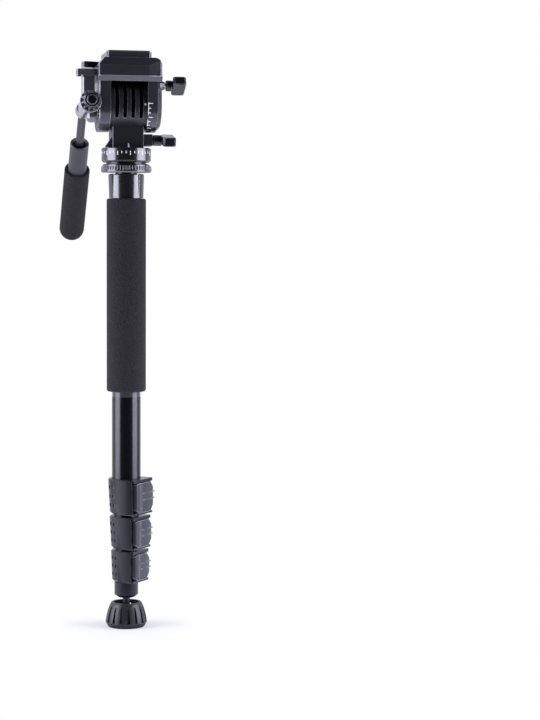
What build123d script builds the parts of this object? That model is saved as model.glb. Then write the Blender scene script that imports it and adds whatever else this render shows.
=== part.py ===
from build123d import *
from math import cos, degrees, hypot, radians, sin
import os

# A folded four-section monopod with a small pan and tilt head.
# Millimetres. Z is up, -Y is the front (lens side), +X is the knob side.
# The origin is on the leg axis, at the sole of the foot.

# Shared clearances
glue_gap = 0.05          # between pieces that are bonded or pressed together
running_gap = 0.08       # radial, between pieces that slide or turn
free_gap = 0.3           # between pieces that only pass each other
overrun = 2.0            # how far a cutter passes the face it cuts

# Leg sections, from the top one down
section_count = 4
widest_tube = 32.0
tube_step = 4.0          # how much narrower each section is than the one above
tube_outer = [widest_tube - index * tube_step for index in range(section_count)]
tube_wall = 1.2
guide_length = 16.0
stop_gap = 0.35          # between a section's guide and the stop above it

# Foot and its stud
foot_height = 27.2
foot_top_radius = 17.4
foot_widest_radius = 23.1
foot_widest_level = 5.0
foot_sole_inset = 2.7
foot_shoulder_share = 0.737
foot_shoulder_level_share = 0.515
foot_wall = 3.2
foot_floor = 5.0
foot_boss_radius = 8.0
foot_boss_drop = 9.2     # from the foot's rim down to its boss
foot_slots = 16
foot_slot_width = 3.2
foot_slot_top_width = 1.8
foot_slot_low = 5.6
foot_slot_drop = 4.2     # from the foot's rim down to its slots
foot_rim_round = 0.9
stud_radius = 4.1
stud_bare = 5.8          # stud that shows between the foot and the ferrule
stud_in_foot = 9.0
stud_in_ferrule = 9.0
ferrule_height = 18.0
ferrule_wall = 3.35
ferrule_bevel = 4.4
ferrule_bevel_height = 3.2
ferrule_seat = 8.0       # how deep the last tube stands in the ferrule

foot_sole_radius = foot_widest_radius - foot_sole_inset
foot_shoulder_radius = foot_top_radius + (foot_widest_radius - foot_top_radius) * foot_shoulder_share
foot_shoulder_level = foot_height * foot_shoulder_level_share
foot_boss_top = foot_height - foot_boss_drop
foot_slot_high = foot_height - foot_slot_drop
stud_bottom = foot_boss_top - stud_in_foot
ferrule_bottom = foot_height + stud_bare
ferrule_top = ferrule_bottom + ferrule_height
ferrule_radius = tube_outer[-1] / 2 + ferrule_wall

# Lock collars, top one first: height, space below it, wall over the tube at its top and bottom
collar_height = [39.2, 36.0, 35.2]
collar_space = [2.8, 2.2, 0.6]
collar_top_wall = [4.4, 4.9, 5.2]
collar_bottom_wall = [2.2, 2.7, 3.7]
collar_rim = 1.6
collar_lip = 2.4
clamp_height = 14.0
clamp_slit = 2.0
clamp_level = 0.3        # play above and below the clamp sleeve


def collar_levels():
    # the lower ends of the collars, top one first, each standing over the next
    levels = []
    low = ferrule_top
    for height, space in zip(reversed(collar_height), reversed(collar_space)):
        low += space
        levels.insert(0, low)
        low += height
    return levels


def beyond_tube(sizes):
    # distances from the leg axis for sizes measured from the skin of each lock's tube
    return [outer / 2 + size for outer, size in zip(tube_outer, sizes)]


collar_bottom = collar_levels()
collar_top = [low + height for low, height in zip(collar_bottom, collar_height)]
collar_top_radius = beyond_tube(collar_top_wall)
collar_bottom_radius = beyond_tube(collar_bottom_wall)

# Lock housing and lever, along u (across the lever, to its free end) and v (outwards)
lever_turn = -39.0       # direction of the lever's face, from +X
housing_back = 4.3       # housing behind the lever, less than the lever's face
housing_ear_back = 1.7
swell_turn = 28.2        # the round side of the housing leaves the collar opposite this direction, from u
swell_sink = 0.1
lever_stand = [8.9, 9.2, 9.5]
lever_overhang = [2.0, 3.0, 3.6]
hinge_overhang = [4.2, 5.2, 5.9]
bolt_overhang = [2.5, 3.4, 4.0]
lever_thick = 3.0
lever_crown = 0.9
barrel_radius = 3.9
barrel_side_gap = 0.4
barrel_wall = 1.5        # housing wall beside the barrel
ear_top = 3.4
ear_bottom = 2.2
ear_round = 1.2
lever_pin_radius = 1.25
lever_pin_proud = 0.4
lever_corner_wide = 7.0
lever_corner_high = 6.5
lever_heel_wide = 5.0
lever_heel_bottom = 4.0
lever_heel_top = 1.6
lever_rib_high = 1.3
lever_rib_proud = 0.7
lever_rib_overhang = 3.0
lever_rib_start_share = 0.28
lever_rib_level_shares = (0.42, 0.64)
lever_groove_radius = 0.8
lever_groove_pitch = 2.6
lever_grooves = 2
lock_bolt_radius = 1.5
lock_bolt_head_radius = 2.6
lock_bolt_head = 2.4
lock_bolt_inset = 2.4
lock_bolt_clear = 0.4
dimple_wide = 4.6
dimple_high = 3.7
dimple_deep = 0.9
dimple_columns = 4
dimple_rows = 3
dimple_pitch = 8.3
dimple_row_share = 0.257
dimple_turn = 179.0      # direction of the middle of the dimples

lever_face = beyond_tube(lever_stand)
lever_free_end = beyond_tube(lever_overhang)
hinge_end = beyond_tube(hinge_overhang)
bolt_end = beyond_tube(bolt_overhang)

# Upper tube, its grip and its top
main_tube_length = 354.7
plug_height = 18.0
collar_cap = 5.0         # head collar over the tube's upper end
head_collar_height = 26.5
head_collar_top_wall = 3.75
head_collar_bottom_wall = 2.9
head_collar_round = 1.6
collar_slot_width = 2.7
collar_slot_length = 20.0
collar_slot_depth = 1.1
collar_slot_turn = -54.4
collar_slots = 4
grip_length = 213.6
grip_space = 0.4         # between the grip and the head collar
grip_thick = 5.8
grip_round = 2.2

tube_top = collar_bottom[0] + collar_lip + clamp_height + clamp_level + clamp_level + main_tube_length
head_collar_top = tube_top + collar_cap
head_collar_bottom = head_collar_top - head_collar_height
head_collar_top_radius = widest_tube / 2 + head_collar_top_wall
head_collar_bottom_radius = widest_tube / 2 + head_collar_bottom_wall
grip_top = head_collar_bottom - grip_space
grip_bottom = grip_top - grip_length
grip_radius = widest_tube / 2 + grip_thick

# Platform ring, stud and the small lever under the ring
ring_lift = 1.4          # ring over the head collar
ring_height = 9.4
ring_radius = 27.6
ring_cone = 1.4          # how much narrower the ring is at its top
ring_chamfer = 1.2
ring_hub_radius = 12.0
head_stud_radius = 4.76
ring_lever_turn = 62.0
ring_lever_eye = 3.5
ring_lever_inset = 0.2   # lever's eye inside the ring's edge
ring_lever_bulb = 2.7
ring_lever_length = 6.6
ring_lever_thick = 3.2
ring_lever_waist = 1.3
pivot_radius = 1.5
pivot_head_radius = 2.6
pivot_head = 1.2
pivot_grip = 6.0

ring_bottom = head_collar_top + ring_lift
ring_top = ring_bottom + ring_height
ring_lever_reach = ring_radius - ring_lever_eye - ring_lever_inset

# Graduated base of the head
groove_radius = 22.0
groove_height = 1.6
dial_height = 16.1
dial_radius = 27.2
dial_chamfer = 2.2
dial_top_chamfer = 0.8
dial_web = 1.0           # wall between the spindle's pocket and the thrust washer's
spindle_radius = 5.0
spindle_head_radius = 9.0
spindle_head = 3.0
spindle_play = 0.4
spindle_in_neck = 19.0
thrust_outer = 15.0
thrust_pocket = 1.2

dial_bottom = ring_top + groove_height
dial_top = dial_bottom + dial_height
spindle_pocket_high = dial_top - thrust_pocket - dial_web
spindle_pocket_low = spindle_pocket_high - spindle_head - spindle_play
head_stud_top = spindle_pocket_low - spindle_play
spindle_top = dial_top + spindle_in_neck
neck_bottom = dial_top + free_gap

# Neck and drum
neck_height = 47.0       # from the dial to the tilt axis
drum_radius = 27.5
drum_half = 20.0
drum_slots = 4
drum_slot_width = 4.1
drum_slot_pitch = 8.8
drum_slot_drop = 15.0    # lower end of the slots below the tilt axis
drum_slot_root = 17.5
drum_web = 4.0           # wall across the slots, over the axle
neck_half = 17.2
neck_front = -17.0
neck_back = 20.0
neck_edge = 0.8
gusset_height = 13.0
gusset_spread = 8.2
gusset_thick = 5.0
gusset_setback = 1.0
pan_boss_length = 9.8
pan_boss_lift = 2.0
pan_boss_high = 13.0
pan_boss_wide = 18.0
pan_knob_y = -7.0

tilt_level = dial_top + neck_height
drum_slot_floor = tilt_level - drum_slot_drop
pan_boss_reach = neck_half + pan_boss_length
pan_boss_bottom = dial_top + pan_boss_lift
pan_boss_top = pan_boss_bottom + pan_boss_high
pan_knob_level = (pan_boss_bottom + pan_boss_top) / 2

# Screw knobs with a thick paddle
knob_stem_radius = 6.0
knob_blade_length = 25.0
knob_blade_reach = 14.3
knob_blade_thick = 10.2
knob_blade_corner = 1.8
knob_blade_edge = 0.9
knob_screw_radius = 3.0
knob_screw_in_boss = 10.0
knob_screw_in_knob = 5.5
pan_knob_space = 1.0     # between the boss and the knob
pan_knob_stem = 10.4
pan_knob_turn = 11.0
tilt_knob_space = 5.0
tilt_knob_stem = 7.0
tilt_knob_turn = -26.0
tilt_boss_radius = 6.4
tilt_boss_tip = 4.2
tilt_boss_reach = 3.4

# Tilting cradle
cheek_gap = 0.35         # between the drum's end and a cheek
cheek_thick_right = 15.65
cheek_thick_left = 12.45
cheek_chamfer_right = 5.0
cheek_chamfer_left = 0.8
cheek_wrap = 2.5         # cheek beyond the drum
deck_hug = 2.9           # how far the deck's underside reaches over the drum
deck_height = 25.4
deck_chin = 5.4
deck_nose = 11.0
deck_reach = 6.0         # deck in front of the cheeks
deck_chin_inset = 5.0
deck_slope_inset = 4.5
deck_tail = 2.0          # deck behind the cheeks
deck_step = 0.3          # right cheek beyond the deck
deck_ledge = 1.7         # deck beyond the left cheek
deck_corner_wide = 7.4
deck_corner_high = 9.0
deck_corner_mid = 40.0
deck_side_wide = 14.9
deck_side_deep = 3.6
deck_round = 3.0
drum_clear = 0.8
tilt_axle_radius = 5.0
axle_end_inset = 4.0
cover_radius = 15.0
cover_thick = 2.4
cover_proud = 0.5
cover_edge = 0.4
tilt_washer_outer = 17.0
tilt_washer_recess = 1.45
tilt_knob_y = -21.0
tilt_knob_lift = 20.5

cheek_inner = drum_half + cheek_gap
cheek_outer_right = cheek_inner + cheek_thick_right
cheek_outer_left = cheek_inner + cheek_thick_left
cheek_outer = {1: cheek_outer_right, -1: cheek_outer_left}
cheek_chamfer = {1: cheek_chamfer_right, -1: cheek_chamfer_left}
cheek_radius = drum_radius + cheek_wrap
deck_right = cheek_outer_right - deck_step
deck_left = -cheek_outer_left - deck_ledge
deck_bottom = tilt_level + drum_radius - deck_hug
deck_top = deck_bottom + deck_height
deck_nose_low = deck_bottom + deck_chin
deck_nose_high = deck_nose_low + deck_nose
deck_front = -cheek_radius - deck_reach
deck_back = cheek_radius + deck_tail
tilt_knob_level = tilt_level + tilt_knob_lift

# Quick plate and its channel
plate_half = 24.4
plate_length = 64.0
plate_front = -30.0
plate_thick = 6.1
plate_gap = 0.3
plate_corner = 4.0
plate_edge = 1.0
plate_overhang = 3.4     # plate beyond the channel at each side
plate_nose = 3.0         # plate in front of its foot
plate_heel = 4.0         # plate behind its foot
channel_slope = 2.4
channel_depth = 5.0
pad_thick = 1.2
pad_margin = 1.6
camera_screw_radius = 3.175
camera_screw_travel = 5.0    # from flush with the pad to screwed home
camera_screw_head_radius = 7.5
camera_screw_head = 2.8
camera_screw_room = 0.7
camera_screw_slot = 0.8
clip_wide = 1.6
clip_thick = 0.6
screw_y = 0.0
video_pin_radius = 2.0
video_pin_proud = 3.0
video_pin_y = 18.0
video_pin_foot_wide = 1.2
video_pin_foot = 1.2
pin_spring_wire = 0.4
pin_spring_turns = 5
pin_pocket_floor = 0.8

plate_back = plate_front + plate_length
plate_top = deck_top + plate_gap + plate_thick
pad_top = plate_top + pad_thick
channel_half = plate_half - plate_overhang
channel_front = plate_front + plate_nose
plate_foot_back = plate_back - plate_heel
camera_screw_pocket = camera_screw_head_radius + camera_screw_room
clip_radius = camera_screw_radius + clip_wide
video_pin_foot_radius = video_pin_radius + video_pin_foot_wide

# Plate lever, its pivot and jaw
lever_pivot_out = 9.5    # pivot beyond the channel
lever_pivot_y = 20.0
plate_lever_eye = 7.2
plate_lever_drop = 2.0   # its top below the deck's top
plate_lever_thick = 6.8
plate_lever_length = 16.4
plate_lever_front_half = 12.0
plate_lever_back_half = 11.0
plate_lever_round = 3.0
plate_lever_tab = 5.0
deck_lever_room = 1.0
lever_shaft_radius = 2.5
lever_shaft_depth = 8.0
jaw_half = 7.0
jaw_gap = 0.2

lever_pivot_x = -channel_half - lever_pivot_out
plate_lever_high = deck_top - plate_lever_drop
plate_lever_low = plate_lever_high - plate_lever_thick
plate_lever_front = lever_pivot_y - plate_lever_front_half
plate_lever_back = lever_pivot_y + plate_lever_back_half
deck_lever_clear = plate_lever_eye + deck_lever_room
jaw_front = lever_pivot_y - jaw_half
jaw_back = lever_pivot_y + jaw_half

# Handle bracket, barrel, knob and handle
barrel_outer = 9.6
barrel_space = 0.5       # between the barrel and the left cheek
barrel_slope = 4.5
barrel_drop = 1.2        # the barrel crosses the tilt axis this far under it
barrel_front = -35.5
barrel_length = 77.5
barrel_rim_radius = 11.9
barrel_rim_long = 3.2
barrel_rim_edge = 0.5
barrel_seam_at = 26.0
barrel_seam_wide = 1.0
barrel_seam_deep = 0.5
barrel_panel_long = 33.0
barrel_panel_high = 11.6
barrel_panel_deep = 1.0
barrel_panel_from = -12.0
flange_lift = 6.6        # flange over the deck's underside
flange_high_by = 6.8
flange_wide = 19.5
flange_long = 22.0
flange_lever_space = 1.0
flange_round = 2.5
flange_lip = 5.0
flange_lip_out = 2.0
flange_lip_drop = 1.6
flange_lip_long = 9.0
post_space = 1.3         # between the post and the deck's side
post_thick = 12.7
post_front = -10.0
post_back = 13.0
post_foot = 3.5          # above the barrel's axis, inside its wall
stub_radius = 8.6
stub_drop = 9.4
stub_y = 6.0
stub_edge = 2.0
bracket_screw_radius = 2.0
bracket_screw_head_radius = 2.5
bracket_screw_head = 2.2
bracket_screw_length = 14.0
bracket_screw_spread = 7.0
lug_thick = 4.0
rod_radius = 4.7
rod_front = -20.0
rod_bend_at = 46.0
rod_bend_radius = 20.0
rod_drop = 45.0
rod_visible = 39.7
rod_in_sleeve = 30.0
sleeve_radius = 10.7
sleeve_visible = 41.0
sleeve_in_grip = 70.0
sleeve_mouth_wall = 3.5
sleeve_mouth_flare = 1.8
sleeve_mouth_depth = 7.0
handle_grip_thick = 3.95
handle_grip_length = 110.6
handle_grip_lip = 1.2
handle_knob_radius = 10.8
handle_knob_length = 13.0
handle_knob_bevel = 3.6
handle_knob_bevel_deep = 3.2
handle_knob_cap_radius = 5.6
handle_knob_cap = 1.6
handle_knob_flutes = 12
handle_knob_flute_radius = 2.1
handle_bolt_radius = 2.5
handle_bolt_reach = 16.0
handle_bolt_in_knob = 8.0
handle_spigot_radius = 7.0
handle_knob_gap = 0.5

barrel_x = -cheek_outer_left - barrel_space - barrel_outer
barrel_level = tilt_level - barrel_drop
barrel_rear = barrel_front + barrel_length
flange_low = deck_bottom + flange_lift
flange_high = flange_low + flange_high_by
flange_outer = deck_left - flange_wide
flange_back = plate_lever_front - flange_lever_space
flange_front = flange_back - flange_long
post_inner = deck_left - post_space
post_outer = post_inner - post_thick
sleeve_mouth_radius = sleeve_radius - sleeve_mouth_wall
handle_grip_radius = sleeve_radius + handle_grip_thick

bottom_up = (Align.CENTER, Align.CENTER, Align.MIN)
corner_up = (Align.MIN, Align.MIN, Align.MIN)
across = 90              # degrees
full_turn = 360          # degrees


def disc(radius, low, high):
    return Pos(0, 0, low) * Cylinder(radius, high - low, align=bottom_up)


def ring(outer, inner, low, high):
    return disc(outer, low, high) - disc(inner, low - overrun, high + overrun)


def taper(low_radius, high_radius, low, high):
    return Pos(0, 0, low) * Cone(low_radius, high_radius, high - low, align=bottom_up)


def brick(x_low, x_high, y_low, y_high, z_low, z_high):
    size = Box(x_high - x_low, y_high - y_low, z_high - z_low, align=corner_up)
    return Pos(x_low, y_low, z_low) * size


def rod_along_x(radius, x_low, x_high, y, z):
    return Pos(x_low, y, z) * Rot(0, across, 0) * Cylinder(radius, x_high - x_low, align=bottom_up)


def rod_along_y(radius, y_low, y_high, x, z):
    return Pos(x, y_low, z) * Rot(-across, 0, 0) * Cylinder(radius, y_high - y_low, align=bottom_up)


def prism_z(points, low, high):
    face = make_face(Polyline(*points, close=True))
    return Pos(0, 0, low) * extrude(face, high - low)


def prism_x(points, x_low, x_high):
    face = make_face(Polyline(*points, close=True))
    return Pos(x_low, 0, 0) * extrude(Plane.YZ * face, x_high - x_low)


def prism_y(points, y_low, y_high):
    face = make_face(Polyline(*points, close=True))
    return Pos(0, y_high, 0) * extrude(Plane.XZ * face, y_high - y_low)


def turned(points):
    # a solid of revolution about Z from points of (radius, level)
    face = make_face(Polyline(*points, close=True))
    return revolve(Plane.XZ * face, Axis.Z)


def rounded_box(x_low, x_high, y_low, y_high, z_low, z_high, corner):
    solid = brick(x_low, x_high, y_low, y_high, z_low, z_high)
    return fillet(solid.edges().filter_by(Axis.Z), corner)


# Leg sections
def tube_seat(section):
    # the level of a section's lower end, inside its own collar or ferrule
    if section < len(collar_bottom):
        return collar_bottom[section] + collar_lip + clamp_height + clamp_level + clamp_level
    return ferrule_bottom + ferrule_height - ferrule_seat


def section_top(section):
    if section == 0:
        return tube_top
    return tube_top - plug_height - stop_gap * section


def leg_tube(section):
    outer = tube_outer[section] / 2
    return ring(outer, outer - tube_wall, tube_seat(section), section_top(section))


def leg_guide(section):
    # a sleeve on the top of a section, running in the section above
    bore_above = tube_outer[section - 1] / 2 - tube_wall
    top = section_top(section)
    return ring(bore_above - running_gap, tube_outer[section] / 2 + glue_gap, top - guide_length, top)


# Locks: one collar, clamp sleeve, lever, pin and bolt for each joint of the leg
def lock_place(solid):
    # from the drawing of a lock, with u to the lever's free end, to its side of the leg
    return Rot(0, 0, lever_turn - across) * mirror(solid, Plane.YZ)


def barrel_centre(lock):
    u = barrel_wall + barrel_side_gap + barrel_radius - hinge_end[lock]
    return u, lever_face[lock] - barrel_radius


def lever_levels(lock):
    return collar_bottom[lock] + ear_bottom + free_gap, collar_top[lock] - ear_top - free_gap


def housing_swell(lock):
    # the round side that runs from the collar's skin to the housing's corner by the hinge
    low = collar_bottom[lock]
    high = collar_top[lock]
    back = lever_face[lock] - housing_back
    corner = hypot(hinge_end[lock], back)
    along = back * sin(radians(swell_turn)) - hinge_end[lock] * cos(radians(swell_turn))
    skin = collar_bottom_radius[lock]
    reach = (corner - skin) * (corner + skin) / 2 / (skin + along)
    widen = reach - swell_sink
    body = taper(skin + widen, collar_top_radius[lock] + widen, low, high)
    body = Pos(reach, 0, 0) * chamfer(body.edges().filter_by(GeomType.CIRCLE), collar_rim)
    side = tube_outer[lock] + tube_outer[lock]
    body = Rot(0, 0, swell_turn) * (body & brick(-side, 0, 0, side, low, high))
    return body & brick(-side, 0, -side, back, low, high)


def lock_collar(lock):
    low = collar_bottom[lock]
    high = collar_top[lock]
    body = taper(collar_bottom_radius[lock], collar_top_radius[lock], low, high)
    body = chamfer(body.edges().filter_by(GeomType.CIRCLE), collar_rim)
    left = -hinge_end[lock]
    right = bolt_end[lock]
    face = lever_face[lock]
    u, v = barrel_centre(lock)
    back = brick(left, right, 0, face - housing_back, low + collar_rim, high - collar_rim)
    top_ear = brick(left, right, 0, face - housing_ear_back, high - ear_top, high)
    bottom_ear = brick(left, right, 0, face - housing_ear_back, low, low + ear_bottom)
    ears = fillet((top_ear + bottom_ear).edges().filter_by(Axis.Z).sort_by(Axis.Y)[-4:], ear_round)
    pocket = Pos(u, v, 0) * disc(barrel_radius + barrel_side_gap, low + ear_bottom, high - ear_top)
    sweep_room = brick(u, right + overrun, face - housing_back, face + overrun,
                       low + ear_bottom, high - ear_top)
    body = body + lock_place(back + housing_swell(lock) + ears - pocket - sweep_room)
    body -= disc(tube_outer[lock] / 2 + glue_gap, low + collar_lip, high + overrun)
    body -= disc(tube_outer[lock + 1] / 2 + free_gap, low - overrun, high)
    pin_hole = Pos(u, v, 0) * disc(lever_pin_radius + glue_gap, low - overrun, high + overrun)
    middle = (low + high) / 2
    bolt_v = face - housing_back - lock_bolt_inset
    hole = rod_along_x(lock_bolt_radius + glue_gap, u + barrel_radius, right, bolt_v, middle)
    head_room = rod_along_x(lock_bolt_head_radius + lock_bolt_clear, right - lock_bolt_head,
                            right + overrun, bolt_v, middle)
    body -= lock_place(pin_hole + hole + head_room)
    height = high - low
    for column in range(dimple_columns):
        offset = (column - (dimple_columns - 1) / 2) * dimple_pitch
        for row in range(dimple_rows):
            level = middle + (row - (dimple_rows - 1) / 2) * height * dimple_row_share
            span = (level - low) / height
            reach = collar_bottom_radius[lock] * (1 - span) + collar_top_radius[lock] * span
            dimple = brick(reach - dimple_deep, reach + overrun, -dimple_wide / 2, dimple_wide / 2,
                           level - dimple_high / 2, level + dimple_high / 2)
            body -= Rot(0, 0, dimple_turn + degrees(offset / reach)) * dimple
    return body


def lock_clamp(lock):
    # a split sleeve that the collar squeezes on the section below
    low = collar_bottom[lock] + collar_lip + clamp_level
    sleeve = ring(tube_outer[lock] / 2, tube_outer[lock + 1] / 2 + running_gap, low, low + clamp_height)
    slit = brick(-clamp_slit / 2, clamp_slit / 2, 0, tube_outer[lock], low - overrun,
                 low + clamp_height + overrun)
    return sleeve - lock_place(slit)


def lock_lever(lock):
    low, high = lever_levels(lock)
    face = lever_face[lock]
    right = lever_free_end[lock]
    u, v = barrel_centre(lock)
    inner = face - lever_thick
    middle = (u + right) / 2
    outline = Polyline((right, inner - lever_crown), (right, face - lever_crown))
    outline += ThreePointArc((right, face - lever_crown), (middle, face + lever_crown / 2), (u, face))
    outline += Polyline((u, face), (u, v), (u, inner))
    outline += ThreePointArc((u, inner), (middle, inner + lever_crown / 2), (right, inner - lever_crown))
    plate = Pos(0, 0, low) * extrude(make_face(outline), high - low)
    body = plate + Pos(u, v, 0) * disc(barrel_radius, low, high)
    left = u - barrel_radius
    corners = [(right, lever_corner_wide, low, -lever_corner_high, 1),
               (right, lever_corner_wide, high, lever_corner_high, 1),
               (left, lever_heel_wide, low, -lever_heel_bottom, -1),
               (left, lever_heel_wide, high, lever_heel_top, -1)]
    for end, wide, level, outwards, side in corners:
        corner = [(end + side * overrun, level + outwards), (end - side * wide, level + outwards),
                  (end - side * wide, level), (end, level - outwards),
                  (end + side * overrun, level - outwards)]
        body -= prism_y(corner, v - barrel_radius - overrun, face + overrun)
    start = u + (right - u) * lever_rib_start_share
    start_v = face + lever_crown / 2
    tip = right + lever_rib_overhang
    for share in lever_rib_level_shares:
        level = low + (high - low) * share
        rib = [(start, start_v - lever_thick / 2), (start, start_v + lever_rib_proud / 2),
               (right, face - lever_crown + lever_rib_proud), (tip, face - lever_crown),
               (tip, face - lever_thick), (right, face - lever_thick)]
        body += prism_z(rib, level - lever_rib_high / 2, level + lever_rib_high / 2)
    for groove in range(lever_grooves):
        groove_u = u + barrel_radius + groove * lever_groove_pitch
        body -= Pos(groove_u, face + lever_crown / 2, 0) * disc(lever_groove_radius, low - overrun,
                                                                high + overrun)
    body -= Pos(u, v, 0) * disc(lever_pin_radius + running_gap, low - overrun, high + overrun)
    return lock_place(body)


def lock_pin(lock):
    u, v = barrel_centre(lock)
    low = collar_bottom[lock] - lever_pin_proud
    high = collar_top[lock] + lever_pin_proud
    pin = chamfer(disc(lever_pin_radius, low, high).edges().filter_by(GeomType.CIRCLE), lever_pin_proud / 2)
    return lock_place(Pos(u, v, 0) * pin)


def lock_bolt(lock):
    # the tension screw that draws the collar together behind the lever
    middle = (collar_bottom[lock] + collar_top[lock]) / 2
    bolt_v = lever_face[lock] - housing_back - lock_bolt_inset
    right = bolt_end[lock]
    left = barrel_centre(lock)[0] + barrel_radius + barrel_side_gap + lock_bolt_clear
    shank = rod_along_x(lock_bolt_radius, left, right - lock_bolt_head, bolt_v, middle)
    head = rod_along_x(lock_bolt_head_radius, right - lock_bolt_head, right, bolt_v, middle)
    slot = brick(right - lock_bolt_head / 2, right + overrun, bolt_v - lock_bolt_head_radius - overrun,
                 bolt_v + lock_bolt_head_radius + overrun, middle - lock_bolt_clear,
                 middle + lock_bolt_clear)
    return lock_place(shank + head - slot)


# Foot
def rubber_foot():
    outer = Spline((foot_widest_radius, foot_widest_level), (foot_shoulder_radius, foot_shoulder_level),
                   (foot_top_radius, foot_height - foot_rim_round))
    profile = Polyline((0, 0), (foot_sole_radius, 0))
    profile += Line((foot_sole_radius, 0), (foot_widest_radius, foot_widest_level))
    profile += outer
    inner_top = foot_top_radius - foot_wall
    profile += Polyline((foot_top_radius, foot_height - foot_rim_round),
                        (foot_top_radius - foot_rim_round, foot_height), (inner_top, foot_height),
                        (foot_shoulder_radius - foot_wall, foot_shoulder_level),
                        (foot_widest_radius - foot_wall, foot_floor),
                        (foot_boss_radius, foot_floor), (foot_boss_radius, foot_boss_top), (0, foot_boss_top),
                        (0, 0))
    body = revolve(Plane.XZ * make_face(profile), Axis.Z)
    body -= disc(stud_radius + glue_gap, stud_bottom, foot_height)
    slot = [(-foot_slot_width / 2, foot_slot_low), (foot_slot_width / 2, foot_slot_low),
            (foot_slot_top_width / 2, foot_slot_high), (-foot_slot_top_width / 2, foot_slot_high)]
    cutter = prism_y(slot, -foot_widest_radius - overrun, -foot_boss_radius - overrun)
    for index in range(foot_slots):
        body -= Rot(0, 0, index * full_turn / foot_slots) * cutter
    return body


def foot_stud():
    low = stud_bottom
    high = ferrule_bottom + stud_in_ferrule
    return chamfer(disc(stud_radius, low, high).edges().filter_by(GeomType.CIRCLE), foot_rim_round)


def leg_ferrule():
    low = ferrule_bottom
    high = ferrule_bottom + ferrule_height
    bevelled = ferrule_radius - ferrule_bevel
    body = turned([(0, low), (bevelled, low), (ferrule_radius, low + ferrule_bevel_height),
                   (ferrule_radius, high - foot_rim_round), (ferrule_radius - foot_rim_round, high),
                   (0, high)])
    body -= disc(tube_outer[-1] / 2 + glue_gap, tube_seat(len(tube_outer) - 1), high + overrun)
    body -= disc(stud_radius + glue_gap, low - overrun, low + stud_in_ferrule + glue_gap)
    return body


# Top of the leg
def foam_grip():
    body = ring(grip_radius, tube_outer[0] / 2 + glue_gap, grip_bottom, grip_top)
    rims = body.edges().filter_by(GeomType.CIRCLE).sort_by(SortBy.RADIUS)[-2:]
    return fillet(rims, grip_round)


def head_collar():
    low = head_collar_bottom
    high = head_collar_top
    body = taper(head_collar_bottom_radius, head_collar_top_radius, low, high)
    body = fillet(body.edges().filter_by(GeomType.CIRCLE).sort_by(Axis.Z)[-1:], head_collar_round)
    body -= disc(tube_outer[0] / 2 + glue_gap, low - overrun, tube_top)
    body -= disc(head_stud_radius + glue_gap, low, high + overrun)
    half = collar_slot_width / 2
    for index in range(collar_slots):
        floor = high - collar_slot_length
        reach = head_collar_top_radius + overrun
        cut = brick(-half, half, -reach, -head_collar_top_radius + collar_slot_depth, floor, high + overrun)
        cut += rod_along_y(half, -reach, -head_collar_top_radius + collar_slot_depth, 0, floor)
        body -= Rot(0, 0, collar_slot_turn + index * full_turn / collar_slots) * cut
    return body


def top_plug():
    body = disc(tube_outer[0] / 2 - tube_wall - glue_gap, tube_top - plug_height, tube_top)
    return body - disc(head_stud_radius + glue_gap, tube_top - plug_height - overrun, tube_top + overrun)


def head_stud():
    low = tube_top - plug_height
    stud = disc(head_stud_radius, low, head_stud_top)
    return chamfer(stud.edges().filter_by(GeomType.CIRCLE), ring_chamfer / 2)


def knurled_ring():
    top_radius = ring_radius - ring_cone
    body = turned([(0, ring_bottom), (ring_radius - ring_chamfer, ring_bottom),
                   (ring_radius, ring_bottom + ring_chamfer), (top_radius, ring_top - ring_chamfer),
                   (top_radius - ring_chamfer, ring_top), (0, ring_top)])
    hub = disc(ring_hub_radius, head_collar_top, ring_bottom)
    body = body + hub - disc(head_stud_radius + glue_gap, head_collar_top - overrun, ring_top + overrun)
    x = ring_lever_reach * cos(radians(ring_lever_turn))
    y = ring_lever_reach * sin(radians(ring_lever_turn))
    body -= Pos(x, y, 0) * disc(pivot_radius + glue_gap, ring_bottom - overrun, ring_bottom + pivot_grip)
    return body


def ring_lever_levels():
    high = ring_bottom - free_gap
    return high - ring_lever_thick, high


def ring_lever():
    low, high = ring_lever_levels()
    eye = disc(ring_lever_eye, low, high)
    bulb = Pos(ring_lever_length, 0, 0) * disc(ring_lever_bulb, low - ring_lever_waist, high)
    arm = brick(0, ring_lever_length, -ring_lever_waist, ring_lever_waist, low, high)
    body = eye + bulb + arm
    body -= disc(pivot_radius + running_gap, low - overrun, high + overrun)
    return Rot(0, 0, ring_lever_turn) * Pos(ring_lever_reach, 0, 0) * body


def ring_lever_pivot():
    low = ring_lever_levels()[0]
    shank = disc(pivot_radius, low - free_gap, ring_bottom + pivot_grip - free_gap)
    head = disc(pivot_head_radius, low - free_gap - pivot_head, low - free_gap)
    return Rot(0, 0, ring_lever_turn) * Pos(ring_lever_reach, 0, 0) * (shank + head)


# Base of the head
def dial_base():
    body = turned([(0, ring_top), (groove_radius, ring_top), (groove_radius, dial_bottom),
                   (dial_radius - dial_chamfer, dial_bottom), (dial_radius, dial_bottom + dial_chamfer),
                   (dial_radius, dial_top - dial_top_chamfer), (dial_radius - dial_top_chamfer, dial_top),
                   (0, dial_top)])
    body -= disc(head_stud_radius + glue_gap, ring_top - overrun, head_stud_top + glue_gap)
    body -= disc(spindle_head_radius + free_gap, spindle_pocket_low, spindle_pocket_high)
    body -= disc(spindle_radius + running_gap, spindle_pocket_low, dial_top + overrun)
    body -= disc(thrust_outer + free_gap, dial_top - thrust_pocket, dial_top + overrun)
    return body


def pan_washer():
    low = dial_top - thrust_pocket + glue_gap
    return ring(thrust_outer, spindle_radius + running_gap, low, neck_bottom - glue_gap)


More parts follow.
